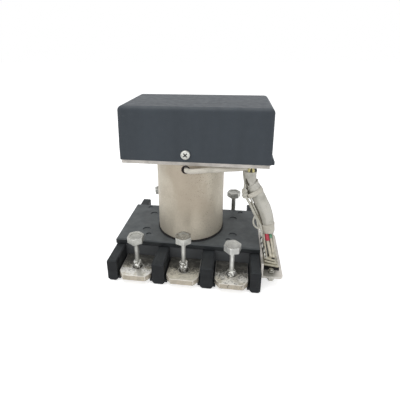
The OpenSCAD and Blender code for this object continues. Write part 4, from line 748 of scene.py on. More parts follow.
@dataclass
class Workshop:
    """Makes pieces and puts them on their bodies."""

    frame: dict
    paintbox: Paintbox
    body_of: dict[str, str] = field(default_factory=dict)

    def __post_init__(self) -> None:
        """Lists the body of each node."""
        for body, nodes in self.frame["record"]["behaviour"]["bodies"].items():
            for node in nodes:
                self.body_of[node] = body

    def piece(self, name: str, shape: bmesh.types.BMesh, slot: Slot, body: str = "frame",
              finish: Finish | None = None, replaces: Sequence[str] = ()) -> bpy.types.Object:
        """Turns a shape into a piece with its finish, on its body.

        Args:
            name: Name of the piece.
            shape: The shape, in metres. It is freed.
            slot: The record's slot that the piece belongs to.
            body: The body that it moves with.
            finish: The finish, where it isn't the slot's own.
            replaces: Solids that the piece stands for.

        Returns:
            The new object.
        """
        mesh = bpy.data.meshes.new(name)
        shape.to_mesh(mesh)
        shape.free()
        thing = linked(name, mesh)
        mesh.materials.append(self.paintbox.of(finish or slot))
        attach(thing, body)
        if replaces:
            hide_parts(*replaces)
        LOG.info("%s: %d faces on %s", name, len(mesh.polygons), body)
        return thing

    def dress(self, *nodes: str) -> None:
        """Gives each solid its slot's finish and leaves its mesh as it is."""
        for node in nodes:
            holder = self.frame["nodes"][node].material_slots[0]
            material = self.paintbox.of(Slot(holder.material.name))
            holder.link = "OBJECT"
            holder.material = material

    def soften(self, node: str, width: float, steps: int = 2, angle: float = 32.0, foot: float = 0.0,
               foot_top: float = 2.8, finish: Finish | None = None) -> None:
        """Makes a copy of a solid whose edges are softened, in place of the solid.

        Args:
            node: The solid's name.
            width: Width of the softening, in millimetres.
            steps: Steps across it.
            angle: Least angle of an edge that is softened, in degrees.
            foot: Width of a first softening of the upright edges near the foot, or 0 for none.
            foot_top: Height below which that first softening acts.
            finish: The finish, where it isn't the slot's own.
        """
        shape = self._copy(node)
        bmesh.ops.dissolve_limit(shape, angle_limit=math.radians(0.5), verts=shape.verts, edges=shape.edges)
        worn = shape.faces.layers.float.new("edge")
        if foot > 0:
            self._cut(shape, foot * MM, 3, 20.0, lambda e: all(v.co.z < foot_top * MM for v in e.verts)
                      and abs(e.verts[0].co.x - e.verts[1].co.x) < 1e-5)
        for face in self._cut(shape, width * MM, steps, angle):
            face[worn] = 1.0
        smooth(shape)
        weight = self._stand_in(node, "_soft", shape, finish).modifiers.new("weighted", "WEIGHTED_NORMAL")
        weight.keep_sharp = True

    def spring(self, node: str, joint: str, seat_z: float, travel: float) -> None:
        """Makes a copy of a coil spring in place of the solid; its seat and its shortening are reckoned but not
        applied.

        Args:
            node: The solid's name.
            joint: The joint that presses the spring; not used.
            seat_z: Height of the end that stays, in millimetres.
            travel: Way of the other end, in millimetres.
        """
        shape = self._copy(node)
        smooth(shape, 50.0)
        thing = self._stand_in(node, "_coil", shape)
        low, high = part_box(node)
        anchor = ((low[0] + high[0]) / 2, (low[1] + high[1]) / 2, seat_z * MM)
        1 - travel * MM / (high[2] - low[2])
        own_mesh(thing)

    @staticmethod
    def thicken(thing: bpy.types.Object, wall: float) -> None:
        """Gives a sheet of cloth its thickness, inwards, in millimetres."""
        sheet = thing.modifiers.new("wall", "SOLIDIFY")
        sheet.thickness, sheet.offset = wall * MM, -1.0

    def _copy(self, node: str) -> bmesh.types.BMesh:
        """Copies the mesh of a solid and joins its corners."""
        shape = bmesh.new()
        shape.from_mesh(self.frame["nodes"][node].data)
        bmesh.ops.remove_doubles(shape, verts=shape.verts, dist=MERGE)
        return shape

    def _stand_in(self, node: str, ending: str, shape: bmesh.types.BMesh,
                  finish: Finish | None = None) -> bpy.types.Object:
        """Turns the changed copy of a solid into the piece that stands for it."""
        slot = Slot(self.frame["nodes"][node].material_slots[0].material.name)
        thing = self.piece(node + ending, shape, slot, self.body_of[node], finish, (node,))
        if "custom_normal" in thing.data.attributes:
            thing.data.attributes.remove(thing.data.attributes["custom_normal"])
        return thing

    @staticmethod
    def _cut(shape: bmesh.types.BMesh, width: float, steps: int, angle: float,
             chosen: Callable[[bmesh.types.BMEdge], bool] = lambda edge: True) -> list[bmesh.types.BMFace]:
        """Bevels the outer edges that are sharper than an angle.

        Args:
            shape: The shape to change.
            width: Width of the bevel, in metres.
            steps: Steps across the bevel.
            angle: Least angle between the two faces, in degrees.
            chosen: Says of an edge whether it may be bevelled.

        Returns:
            The new faces.
        """
        sharp = [edge for edge in shape.edges if len(edge.link_faces) == 2
                 and math.degrees(edge.calc_face_angle_signed(0.0)) > angle and chosen(edge)]
        if not sharp:
            return []
        made = bmesh.ops.bevel(shape, geom=sharp, offset=width, offset_type="OFFSET", segments=steps, profile=0.5,
                               affect="EDGES", clamp_overlap=True, loop_slide=True, material=-1)
        return made["faces"]


def curve_points(points: Route, steps: int) -> list[Vector]:
    """Puts a smooth curve through points of any size, such as a place with a radius.

    Args:
        points: The points, each a list of three or four numbers.
        steps: Steps between two points.

    Returns:
        The curve's points, as vectors of the same size.
    """
    nodes = [Vector(p) for p in points]
    last = len(nodes) - 1
    curve = []
    for i in range(last):
        before, start, end, after = nodes[max(i - 1, 0)], nodes[i], nodes[i + 1], nodes[min(i + 2, last)]
        for j in range(steps):
            t = j / steps
            curve.append(0.5 * (2 * start + (end - before) * t + (2 * before - 5 * start + 4 * end - after) * t * t
                                + (3 * start - before - 3 * end + after) * t ** 3))
    curve.append(nodes[last])
    return curve


@dataclass
class Tube:
    """A tube swept along a path, ring by ring, with its own map in millimetres."""

    path: Sequence[Vector]
    radii: float | Sequence[float]
    sides: int = 12
    closed_ends: bool = True
    mark: Vector = field(default_factory=lambda: Vector((0, 1, 0)))
    bulge: Relief | None = None
    soil_and_shade: Relief | None = None

    def __post_init__(self) -> None:
        """Gives every ring the one radius, where there is only one."""
        if isinstance(self.radii, float):
            self.radii = [self.radii] * len(self.path)

    @classmethod
    def along(cls, points: Route, steps: int, sides: int) -> bmesh.types.BMesh:
        """Makes a tube on the smooth curve through places with their radii."""
        route = curve_points(points, steps)
        return cls([v.to_3d() for v in route], [v[3] for v in route], sides).build()

    def frames(self) -> list[Matrix]:
        """Gives the place and turn of each ring, turned as little as can be from one to the next.

        Returns:
            One matrix for each ring. Its X and Y lie in the ring.
        """
        rings = []
        last = len(self.path) - 1
        for i, point in enumerate(self.path):
            ahead = (self.path[min(i + 1, last)] - self.path[max(i - 1, 0)]).normalized()
            side = ahead.cross(self.mark).normalized()
            over = ahead.cross(side)
            spot = Matrix.Translation(point * MM)
            turn = Matrix((side, over, ahead)).transposed().to_4x4()
            rings.append(spot @ turn @ Matrix.Diagonal((self.radii[i] * MM, self.radii[i] * MM, 1, 1)))
        return rings

    def build(self) -> bmesh.types.BMesh:
        """Extrudes one circle along the path.

        Returns:
            The tube's shape, with a layer for soil and painted shade, and a map.
        """
        shape = bmesh.new()
        turn_of = shape.verts.layers.float.new("turn")
        along_of = shape.verts.layers.float.new("along")
        soil_and_shade_of = shape.verts.layers.float.new("soil_and_shade")
        rings = self.frames()
        first = bmesh.ops.create_circle(shape, cap_ends=False, segments=self.sides, radius=1.0)["verts"]
        for vert in first:
            vert[turn_of] = (math.atan2(vert.co.y, vert.co.x) / math.tau) % 1.0
        bmesh.ops.transform(shape, matrix=rings[0], verts=first)
        start, run = list(shape.edges), 0.0
        loop = start
        for i in range(1, len(rings)):
            verts, loop = grow(shape, loop)
            bmesh.ops.transform(shape, matrix=rings[i] @ rings[i - 1].inverted(), verts=verts)
            run += (self.path[i] - self.path[i - 1]).length
            for vert in verts:
                vert[along_of] = run
        self._map(shape, turn_of, along_of)
        if self.soil_and_shade is not None:
            for vert in shape.verts:
                vert[soil_and_shade_of] = self.soil_and_shade(vert[turn_of], vert[along_of])
        if self.bulge is not None:
            self._push(shape, rings, turn_of, along_of)
        if self.closed_ends:
            bmesh.ops.holes_fill(shape, edges=start + loop, sides=self.sides)
        bmesh.ops.recalc_face_normals(shape, faces=shape.faces)
        for face in shape.faces:
            face.smooth = len(face.verts) == 4
        return shape

    def _map(self, shape: bmesh.types.BMesh, turn_of: bmesh.types.BMLayerItem,
             along_of: bmesh.types.BMLayerItem) -> None:
        """Writes the map: millimetres round the tube and along it."""
        layer = shape.loops.layers.uv.new("UVMap")
        girth = math.tau * sum(self.radii) / len(self.radii)
        for face in shape.faces:
            turns = [loop.vert[turn_of] for loop in face.loops]
            wraps = max(turns) - min(turns) > 0.5
            for loop, turn in zip(face.loops, turns):
                turn += 1.0 if wraps and turn < 0.5 else 0.0
                loop[layer].uv = (turn * girth, loop.vert[along_of])

    def _push(self, shape: bmesh.types.BMesh, rings: list[Matrix], turn_of: bmesh.types.BMLayerItem,
              along_of: bmesh.types.BMLayerItem) -> None:
        """Moves each point in or out of the tube by the bulge function, in millimetres."""
        reach, spots = 0.0, []
        for i, ring in enumerate(rings):
            reach += (self.path[i] - self.path[i - 1]).length if i else 0.0
            spots.append((reach, ring.translation.copy()))
        for vert in shape.verts:
            along = vert[along_of]
            away = vert.co - min(spots, key=lambda s: abs(s[0] - along))[1]
            if away.length > 1e-9:
                vert.co += away.normalized() * self.bulge(vert[turn_of], along) * MM


def joined(shapes: Sequence[bmesh.types.BMesh]) -> bmesh.types.BMesh:
    """Joins several shapes into one and frees them.

    Args:
        shapes: The shapes to join.

    Returns:
        One shape that holds them all.
    """
    whole = bmesh.new()
    for shape in shapes:
        holder = bpy.data.meshes.new("holder")
        shape.to_mesh(holder)
        shape.free()
        whole.from_mesh(holder)
        bpy.data.meshes.remove(holder)
    return whole


def turned(outline: Sequence[tuple[float, float]], steps: int) -> bmesh.types.BMesh:
    """Spins a closed outline of radius and height about Z.

    Args:
        outline: Radius and height of each corner, in millimetres.
        steps: Steps of the spin.

    Returns:
        The turned shape, about the origin.
    """
    shape = bmesh.new()
    verts = [shape.verts.new((r * MM, 0.0, z * MM)) for r, z in outline]
    edges = [shape.edges.new(pair) for pair in zip(verts, verts[1:] + verts[:1])]
    bmesh.ops.spin(shape, geom=verts + edges, cent=(0, 0, 0), axis=(0, 0, 1), angle=math.tau, steps=steps,
                   use_merge=True, use_duplicate=False)
    bmesh.ops.remove_doubles(shape, verts=shape.verts, dist=MERGE / 2)
    bmesh.ops.recalc_face_normals(shape, faces=shape.faces)
    smooth(shape, 50.0)
    return shape


def slab(size: Sequence[float], place: Sequence[float], lean: float, soft: float) -> bmesh.types.BMesh:
    """Makes a rounded slab.

    Args:
        size: Width, depth and height, in millimetres.
        place: The slab's middle, in millimetres.
        lean: Turn about Y, in degrees.
        soft: Radius of the edges, in millimetres.

    Returns:
        The slab's shape.
    """
    shape = bmesh.new()
    bmesh.ops.create_cube(shape, size=1.0)
    bmesh.ops.scale(shape, verts=shape.verts, vec=[s * MM for s in size])
    bmesh.ops.bevel(shape, geom=list(shape.edges), offset=soft * MM, offset_type="OFFSET", segments=4, profile=0.5,
                    affect="EDGES", clamp_overlap=True, loop_slide=True, material=-1)
    turn = Matrix.Translation([p * MM for p in place]) @ Matrix.Rotation(math.radians(lean), 4, "Y")
    bmesh.ops.transform(shape, matrix=turn, verts=shape.verts)
    smooth(shape, 180.0)
    return shape


# Sub-assemblies


@dataclass
class Enclosure:
    """Painted cover with its screws, and the tray that it sits on."""

    shop: Workshop
    cover_soft: float = 0.25
    sheet_soft: float = 0.2
    screw_z: float = 95.7
    faces_y: tuple[float, float] = (-27.5, 34.5)
    head_r: float = 3.5
    head_h: float = 1.9
    head_sides: int = 24
    dish_r: float = 2.35
    dish_h: float = 0.3
    cross_l: float = 3.7
    cross_w: float = 0.85
    cross_h: float = 1.1
    cross_turn: float = 42.0
    shank: tuple[float, float] = (1.5, 4.0)
    # dark lining in the cross recesses: painted shade
    recess_shade: Finish = Finish("recess_painted_shade", "#2a2823", rough=0.85, bump=0.4)

    def build(self) -> None:
        """Softens the cover and the tray, makes the screws and dresses what is inside."""
        self.shop.soften("top_cover", self.cover_soft)
        self.shop.soften("tray", self.sheet_soft)
        self._screws()
        self.shop.dress("tray_posts", "tray_screws", "tray_grommet", "circuit_board", "board_spacers",
                        "control_relay", "switch_bracket", "micro_switch", "switch_button", "switch_lever",
                        "actuator_disc")

    def _screws(self) -> None:
        """Makes the pan head screws, each with a rim, a dished middle and a cross recess lined with a dark piece as
        painted shade.
        """
        heads, recesses = [], []
        for y, turn in ((self.faces_y[0], 90.0), (self.faces_y[1], -90.0)):
            place = Matrix.Translation((0, y * MM, self.screw_z * MM)) @ Matrix.Rotation(math.radians(turn), 4, "X")
            for shape, found in zip(self._pan_head(), (heads, recesses)):
                bmesh.ops.transform(shape, matrix=place, verts=shape.verts)
                found.append(shape)
        self.shop.piece("cover_screw_heads", joined(heads), Slot.PLATED, replaces=("cover_screws",))
        self.shop.piece("cover_screw_recesses", joined(recesses), Slot.STEEL, finish=self.recess_shade)

    def _pan_head(self) -> tuple[bmesh.types.BMesh, bmesh.types.BMesh]:
        """Makes one head and the dark lining of its recess, which paints the shade in it.

        Returns:
            The head with its shank, looking up from z = 0, and the dark lining of painted shade.
        """
        rim, top = self.head_r, self.head_h
        radius, height = self.dish_r, top - self.dish_h
        head = self._cross()
        outer = list(head.edges)
        circle = bmesh.ops.create_circle(head, cap_ends=False, segments=self.head_sides, radius=radius * MM)["verts"]
        bmesh.ops.translate(head, verts=circle, vec=(0, 0, height * MM))
        loop = list({e for v in circle for e in v.link_edges})
        bmesh.ops.bridge_loops(head, edges=outer + loop)
        for new_r, new_z in ((radius + 0.15, top - 0.02), (radius + 0.35, top), (rim - 0.6, top - 0.06),
                             (rim - 0.2, top - 0.3), (rim, top - 0.8), (rim, 0.0), (self.shank[0], 0.0),
                             (self.shank[0], -self.shank[1])):
            verts, loop = grow(head, loop)
            bmesh.ops.scale(head, verts=verts, vec=(new_r / radius, new_r / radius, 1))
            bmesh.ops.translate(head, verts=verts, vec=(0, 0, (new_z - height) * MM))
            radius, height = new_r, new_z
        bmesh.ops.holes_fill(head, edges=loop, sides=self.head_sides)
        recess = self._cross()
        verts, floor = grow(recess, list(recess.edges))
        bmesh.ops.scale(recess, verts=verts, vec=(0.8, 0.8, 1))
        bmesh.ops.translate(recess, verts=verts, vec=(0, 0, -self.cross_h * MM))
        bmesh.ops.holes_fill(recess, edges=floor, sides=len(floor))
        for shape in (head, recess):
            bmesh.ops.recalc_face_normals(shape, faces=shape.faces)
            smooth(shape)
        if min(face.normal.z for face in recess.faces) < -0.5:
            bmesh.ops.reverse_faces(recess, faces=recess.faces)
        return head, recess

    def _cross(self) -> bmesh.types.BMesh:
        """Makes the open outline of the cross recess in the head's dish.

        Returns:
            A closed line of 24 edges.
        """
        shape = bmesh.new()
        arm, half, height = self.cross_l / 2, self.cross_w / 2, self.head_h - self.dish_h
        verts = []
        for i in range(4):
            turn = Matrix.Rotation(math.radians(self.cross_turn + 90 * i), 3, "Z")
            for x, y in ((half, -half), (arm, -half), (arm, half)):
                verts.append(shape.verts.new((turn @ Vector((x, y, height))) * MM))
        edges = [shape.edges.new(pair) for pair in zip(verts, verts[1:] + verts[:1])]
        bmesh.ops.subdivide_edges(shape, edges=edges, cuts=1)
        return shape


@dataclass
class Solenoid:
    """Drawn can on its gasket, with the coil and the plunger inside."""

    shop: Workshop
    can_soft: float = 0.25
    hole: tuple[float, float, float] = (0.0, -27.0, 84.0)
    bush: Sequence[tuple[float, float]] = (
        (2.45, -2.4), (2.45, 0.2), (2.6, 0.5), (2.95, 0.55), (3.2, 0.3), (3.2, -0.4), (2.74, -0.4), (2.74, -2.4))
    spring_seat: float = 43.65
    stroke: float = 3.0
    rubber: Finish = Finish("lead_bush_rubber", "#2c2124", rough=0.7, bump=0.3)

    def build(self) -> None:
        """Softens the can, lines its lead hole with a rubber bush and dresses the inside."""
        self.shop.soften("can", self.can_soft)
        ring = turned(self.bush, 48)
        turn = Matrix.Translation([p * MM for p in self.hole]) @ Matrix.Rotation(math.pi / 2, 4, "X")
        bmesh.ops.transform(ring, matrix=turn, verts=ring.verts)
        self.shop.piece("lead_bush", ring, Slot.RUBBER, finish=self.rubber)
        self.shop.spring("return_spring", "armature_slide", self.spring_seat, self.stroke)
        self.shop.dress("can_gasket", "can_screws", "coil_bobbin", "coil_winding", "core", "flux_plate", "plunger",
                        "shaft")


@dataclass(frozen=True)
class Pole:
    """One terminal with its bolt: how far the bolt is raised, how both have aged, the height of the grime and painted
    shade on the bolt's thread, and the strength of the painted reflection on the terminal.
    """

    side: str
    number: int
    raised: float
    grime_and_shade_z: float
    dish: float
    bloomed: float
    painted_reflection: float
    pitted: float
    zinc: str = "#b9b9b3"


@dataclass
class Base:
    """Moulded block and top plate with the six terminals and their captive bolts."""

    shop: Workshop
    mould_soft: float = 0.45
    foot_soft: float = 0.9
    bar_soft: float = 0.35
    bolt_soft: float = 0.28
    angle: float = 25.0
    pad_z: float = 8.5
    pitch: float = 36.0
    spring_seat: float = 18.45
    float_travel: float = 0.75
    poles: Sequence[Pole] = (
        Pole("line", 1, 22.5, 10.0, 0.12, 1.0, 0.6, 0.12, "#b3b3ad"), Pole("line", 2, 25.2, 11.6, 0.85, 0.16, 0.1, 0.2),
        Pole("line", 3, 21.0, 8.6, 0.25, 0.75, 0.3, 0.75, "#cececa"), Pole("load", 1, 22.5, 10.0, 0.4, 0.3, 0.2, 0.25),
        Pole("load", 2, 22.5, 10.4, 0.15, 0.5, 0.3, 0.4), Pole("load", 3, 22.5, 9.4, 0.3, 0.2, 0.1, 0.2))
    # the top plate: more dust, with a stronger painted top sheen on its upward faces
    plate: Finish = Moulding("plate_dust_and_sheen", "#232628", rough=0.48, grain=1500.0, bump=0.22, dust_and_sheen_amount=0.74,
                             dust_and_sheen="#676c6e", worn="#4a4e50", specular=0.35)

    def build(self) -> None:
        """Softens the mouldings, the bars and the bolts and dresses the contacts inside."""
        self.shop.soften("contact_block", self.mould_soft, 3, self.angle, foot=self.foot_soft)
        self.shop.soften("top_plate", self.mould_soft, 3, self.angle, finish=self.plate)
        for pole in self.poles:
            bar = TinnedBar(f"tinned_bar_{pole.side}_{pole.number}", "#b5ac9c", rough=0.5, metal=0.3, grain=1200.0,
                            bump=0.35, pole_x=self.pitch * (pole.number - 2), bloomed=pole.bloomed, painted_reflection=pole.painted_reflection,
                            pitted=pole.pitted)
            # the bolts' near-white worn edges also paint the bright edge highlights of their heads
            bolt = BoltZinc(f"zinc_bolt_{pole.side}_{pole.number}", pole.zinc, rough=0.38, metal=0.55, bump=0.3,
                            grain=900.0, mottled=0.16, bright="#fbfbf8", stain="#5d574a",
                            head_z=self.pad_z + pole.raised, dish=pole.dish, grime_and_shade_z=pole.grime_and_shade_z)
            for kind, soft, finish in (("terminal", self.bar_soft, bar), ("bolt", self.bolt_soft, bolt)):
                self.shop.soften(f"{pole.side}_{kind}_{pole.number}", soft, angle=self.angle, finish=finish)
        for i in (1, 2, 3):
            self.shop.spring(f"contact_spring_{i}", f"bridge_float_{i}", self.spring_seat, self.float_travel)
        self.shop.dress("base_screws", "contact_carrier", "bridge_pins", "bridge_1", "bridge_2", "bridge_3")


@dataclass
class SideConnector:
    """Angle bracket with the connector, its clamp and its screws."""

    shop: Workshop
    bracket_soft: float = 0.25
    nut_soft: float = 0.12
    angle: float = 30.0
    middle: tuple[float, float] = (64.9, -17.0)
    left: float = 5.7
    layers: Route = ((8.6, 38.9, 19.1, 1.9, 12.0), (9.6, 40.0, 16.8, 1.7, 11.0), (11.4, 41.3, 14.5, 1.7, 6.5))
    dark: Finish = Finish("clamp_shadow_gap", "#1b1a18", rough=0.7, bump=0.3, specular=0.2)
    # the shelf carries grime and painted shadow round the connector's nuts
    bracket: Finish = GrimedShadowedShelf("grey_cadmium", "#d2cdc6", rough=0.46, metal=0.5, grain=1600.0, stain="#8a8078",
                                  stained=0.3)
    nuts: Finish = PlatedMetal("dark_zinc", "#98968e", rough=0.28, metal=0.85, stain="#3f3c35", stained=0.7)

    def build(self) -> None:
        """Softens the bracket and the hardware, makes the clamp and dresses the connector."""
        self.shop.soften("connector_bracket", self.bracket_soft, angle=self.angle, finish=self.bracket)
        self.shop.soften("connector_screws", self.nut_soft, angle=self.angle, finish=self.nuts)
        self._clamp()
        self.shop.dress("bracket_screws", "connector_shell", "connector_insulator", "connector_contacts")

    def _clamp(self) -> None:
        """Makes the clamp: three glossy layers on a dark core, which paints the shadow in the gaps between them and
        under the clamp.
        """
        x, y = self.middle
        slabs = [slab((w, l, h), (x + w / 2 - self.left, y, z), lean, 0.75) for w, l, z, h, lean in self.layers]
        self.shop.piece("clamp_layers", joined(slabs), Slot.CLAMP, replaces=("connector_clamp",))
        # dark core: painted shadow between the layers and under the clamp
        core = [slab((7.0, 38.1, 6.2), (x - 1.0, y, 16.7), 0.0, 0.4), slab((11.7, 41.2, 1.0), (x, y, 13.25), 0.0, 0.3)]
        self.shop.piece("clamp_shadow_core", joined(core), Slot.INSULATOR, finish=self.dark)


@dataclass
class Harness:
    """Cloth sleeve, tape, lacing, wires and the coil lead, along the solids' route."""

    shop: Workshop
    sleeve: Route = (
        (47.2, -14.2, 80.4, 4.9), (47.1, -14, 77, 4.7), (47.7, -14, 72.6, 4.4), (49.4, -14, 68.8, 4.1),
        (50.3, -14, 67.3, 4.6), (51.7, -14.1, 65, 4.8), (54, -14.4, 60.6, 5), (57, -15, 55, 5),
        (59.6, -15.8, 49.6, 5), (61.3, -16.3, 44.4, 4.9), (62.4, -16.8, 39, 4.7), (62.8, -17, 36.2, 4.4),
        (63, -17, 34.4, 4.5), (63.3, -17, 31, 4.3))
    sleeve_steps: int = 10
    split: int = 27
    overlap: int = 18
    bands: Sequence[tuple[int, int, float, float, float]] = ((46, 57, 0.5, 1.0, 2.9), (100, 128, 0.6, 5.0, 0.5))
    lead: Route = (
        (0, -16.5, 77.65), (0, -16.6, 80.5), (0, -20, 83.2), (0.3, -25, 83.8), (1.2, -28.8, 83.9), (4.8, -30.2, 84.1),
        (11, -28.9, 84.3), (20, -26.2, 84.3), (30, -22.4, 83.9), (38, -18.6, 83.2), (42.5, -16.4, 83.2),
        (44.7, -15.3, 82.4), (45, -15.2, 81))
    trunk: Route = ((48, -14.5, 114.1), (48, -14.5, 100.3), (48, -14.5, 86.2), (48.6, -13.9, 83), (49, -13.8, 80.9))
    trunk_front: Sequence[tuple[str, float, float]] = (
        ("yellow", 45.9, -17.3), ("dark", 47.3, -17.6), ("yellow", 48.9, -17.7), ("dark", 50.4, -16.9),
        ("dark", 51.2, -15.8))
    hem: Route = (
        (43.4, -16.2, 76.4, 0.5), (43.2, -16.9, 74.0, 0.85), (43.3, -17.3, 71.9, 1.0), (43.5, -17.6, 69.8, 1.1),
        (43.4, -18.2, 68.2, 1.1), (42.6, -19, 66.4, 1.0))
    long_lace: Route = (
        (43.6, -19.5, 63.2, 0.95), (45.3, -19.8, 60, 1.05), (47.5, -20, 56.2, 1.02), (49.3, -20.3, 52.5, 1.0),
        (51.3, -20.8, 48.6, 1.0), (53.6, -21.2, 44.3, 1.0), (55.8, -21.7, 40, 1.0), (57.3, -22.1, 35.9, 0.98),
        (57.7, -22.3, 32.5, 0.95), (57.7, -22.7, 28.4, 0.88))
    short_lace: Route = (
        (47.2, -18.8, 61.4, 0.72), (48.8, -18.8, 58.2, 0.76), (50.4, -19, 54.5, 0.78), (52.5, -19.4, 50.3, 0.72),
        (54.7, -19.6, 45.3, 0.6), (56.9, -20.5, 39.9, 0.55), (57.8, -21, 36, 0.5))
    loop_lace: Route = (
        (52.6, -21.6, 46.6, 0.5), (51.8, -22.2, 46.3, 0.6), (51, -23, 44.5, 0.65), (50.9, -23.6, 42.3, 0.7),
        (51.7, -24, 40, 0.7), (53.3, -24, 38.2, 0.7), (55.4, -23.2, 37, 0.65), (56.6, -22.4, 37.6, 0.55))
    inner_lace: Route = (
        (52, -22, 46.2, 0.5), (53.2, -22.5, 44.3, 0.6), (54, -22.9, 42, 0.65), (54.3, -23, 39.8, 0.7),
        (55.2, -22.8, 38, 0.6))
    knot: tuple[float, float, float] = (43.3, -19.2, 64.4)
    # dark tubes in the slits and along the open seam: painted shade inside the sleeve
    slits: Sequence[Route] = (
        ((43.9, -17.6, 75.6, 0.35), (44.4, -18.1, 73.8, 0.7), (45.0, -18.5, 72.2, 0.75), (45.7, -18.6, 71, 0.65),
         (46.4, -18.6, 70.2, 0.3)),
        ((44.5, -17.7, 69.0, 0.3), (45.0, -17.9, 66.8, 0.65), (45.8, -18.1, 65, 0.7), (46.6, -18.3, 63.3, 0.35)))
    slit_shade: Route = (
        (50.8, -17.3, 55.0, 0.5), (51.9, -17.5, 52.2, 1.1), (53.6, -17.8, 48.8, 1.35), (55.4, -18.3, 45.1, 1.45),
        (57, -18.7, 42, 1.45), (58.3, -19.1, 38.4, 1.2), (59.2, -19.3, 35.6, 0.9))
    fold: Route = (
        (48.6, -18.6, 56.8, 0.5), (50.6, -18.6, 52.9, 0.85), (52.4, -18.8, 49.2, 1.0), (54.1, -19.3, 45.4, 1.15),
        (55.9, -19.9, 41.4, 1.15), (57.2, -20.3, 37.6, 1.0), (58.1, -20.6, 34.0, 0.8))
    bright_wires: Sequence[tuple[float, Route]] = (
        (0.5, ((60.1, -19.4, 31.4), (60.4, -24.8, 26.8), (61.0, -30.6, 23.4), (61.6, -35.2, 20.6))),
        (1.18, ((61.9, -20.0, 31.4), (62.8, -25.6, 26.8), (63.8, -31.2, 23.4), (64.7, -35.7, 20.6))),
        (0.98, ((64.4, -19.8, 31.4), (65.4, -25.2, 26.8), (66.1, -31.0, 23.4), (66.6, -35.6, 20.6))),
        (0.6, ((66.3, -18.8, 31.4), (67.0, -23.2, 26.8), (67.4, -28.6, 23.4), (67.7, -34.2, 20.6))),
        (0.5, ((66.6, -17.2, 31.4), (67.2, -20.8, 26.6), (67.6, -25.6, 23.4), (67.8, -30.4, 20.6))),
        (0.45, ((60.2, -18.2, 31.4), (60.4, -21.6, 26.6), (60.7, -26.6, 23.2), (61.0, -31.4, 20.6))))
    fan: Route = (
        (0.5, 0.4, 1.4, -13.2), (-1.4, 0.4, -1.2, -11.6), (2.2, 0.8, 3.2, -9.6), (-2.6, 0.6, -3.2, -9.6),
        (1.1, 1.6, 1.6, -6.4), (-0.5, 1.5, -0.8, -3.6), (-2, 1.7, -2.8, 2.6), (0.3, 2.7, 1.4, 8.4),
        (-1.2, 2.7, -1.6, 13.4))
    shade_wires: Route = (
        (-2.2, -1.9, -2.6, -17.2), (-0.1, -1.6, 0.7, -17.2), (2.1, -1.4, 2.2, -16.4), (-1.4, 0.4, -1.9, -12.4),
        (0.6, 0.5, 1.0, -12.0), (2.0, 0.8, 2.6, -10.2), (0, 1.8, 0, -5.2))
    foot: tuple[float, float, float] = (63.3, -17.0, 31.55)
    landing: tuple[float, float, float] = (64.9, -17.0, 20.55)
    drain: Route = (
        (57.6, -22.6, 31.4, 0.85), (57.7, -22.9, 28.6, 0.9), (57.9, -23.8, 26, 0.9), (58.5, -25.2, 24, 0.9),
        (59.4, -26.8, 22.9, 0.9), (60.3, -29, 22.5, 0.95), (60.1, -31.6, 21.8, 0.9), (60.3, -34, 21.2, 0.9),
        (60.9, -35.9, 20.8, 0.8))
    # darker cloth of the fold, and the dark cloth in the slits: painted shade
    fold_cloth: Finish = WovenCloth("shaded_cloth", "#8d8778", rough=0.9, threads=2.0, fuzz=0.1)
    slit_shade_cloth: Finish = WovenCloth("dark_slit_shade", "#4b463b", rough=0.9, threads=2.0, fuzz=0.1)
    red: Finish = WireSkin("red_marker", "#b3243c", rough=0.35, dirty=0.25, grime="#6a1a28")
    green: Finish = WireSkin("green_marker", "#4f8a66", rough=0.35, dirty=0.75, grime="#c6cfc0")
    yellow: Finish = WireSkin("yellow_insulation", "#e8dc98", rough=0.4, dirty=0.15)
    # black insulation; on the dark fan wires it paints the shade in the gaps between the wires
    dark: Finish = WireSkin("black_insulation_and_gap_shade", "#25241f", rough=0.45, dirty=0.1)

    def build(self) -> None:
        """Makes all soft and thin pieces of the harness."""
        for step in (self._sleeve, self._tape, self._slit_shade, self._lacing, self._fan, self._markers, self._drain,
                     self._trunk, self._lead):
            step()

    @staticmethod
    def _creases(depth: float, seam: float, step: float, seed: float,
                 hump: tuple[float, float, float] = (0.0, 0.43, 0.1)) -> Relief:
        """Makes the relief of wrapped cloth.

        Args:
            depth: Depth of the creases.
            seam: Turn at which the cloth's edge overlaps, from 0 to 1.
            step: Height of the overlapping edge.
            seed: Number that moves the creases.
            hump: Height, turn and width of a hump over what lies under the cloth.

        Returns:
            A function of turn and distance that gives the height, in millimetres.
        """
        def relief(turn: float, along: float) -> float:
            angle = turn * math.tau
            spot = Vector((math.cos(angle) * 1.3, math.sin(angle) * 1.3, along * 0.16 + turn * 1.5 + seed))
            fold = noise.noise(spot) * depth + noise.noise(spot * 3.1) * depth * 0.35
            gap = (turn - seam) % 1.0
            edge = step * (1.0 - gap / 0.3) if gap < 0.3 else 0.0
            return fold + edge + hump[0] * math.exp(-((turn - hump[1]) / hump[2]) ** 2)
        return relief

    @staticmethod
    def _flank_soil_and_shade(share: float) -> Relief:
        """Gives the dirt and painted shade on the flank beside the lacing, by turn and distance."""
        return lambda turn, along: share * max(0.0, 1.0 - abs(turn - 0.45) / 0.17) ** 0.7

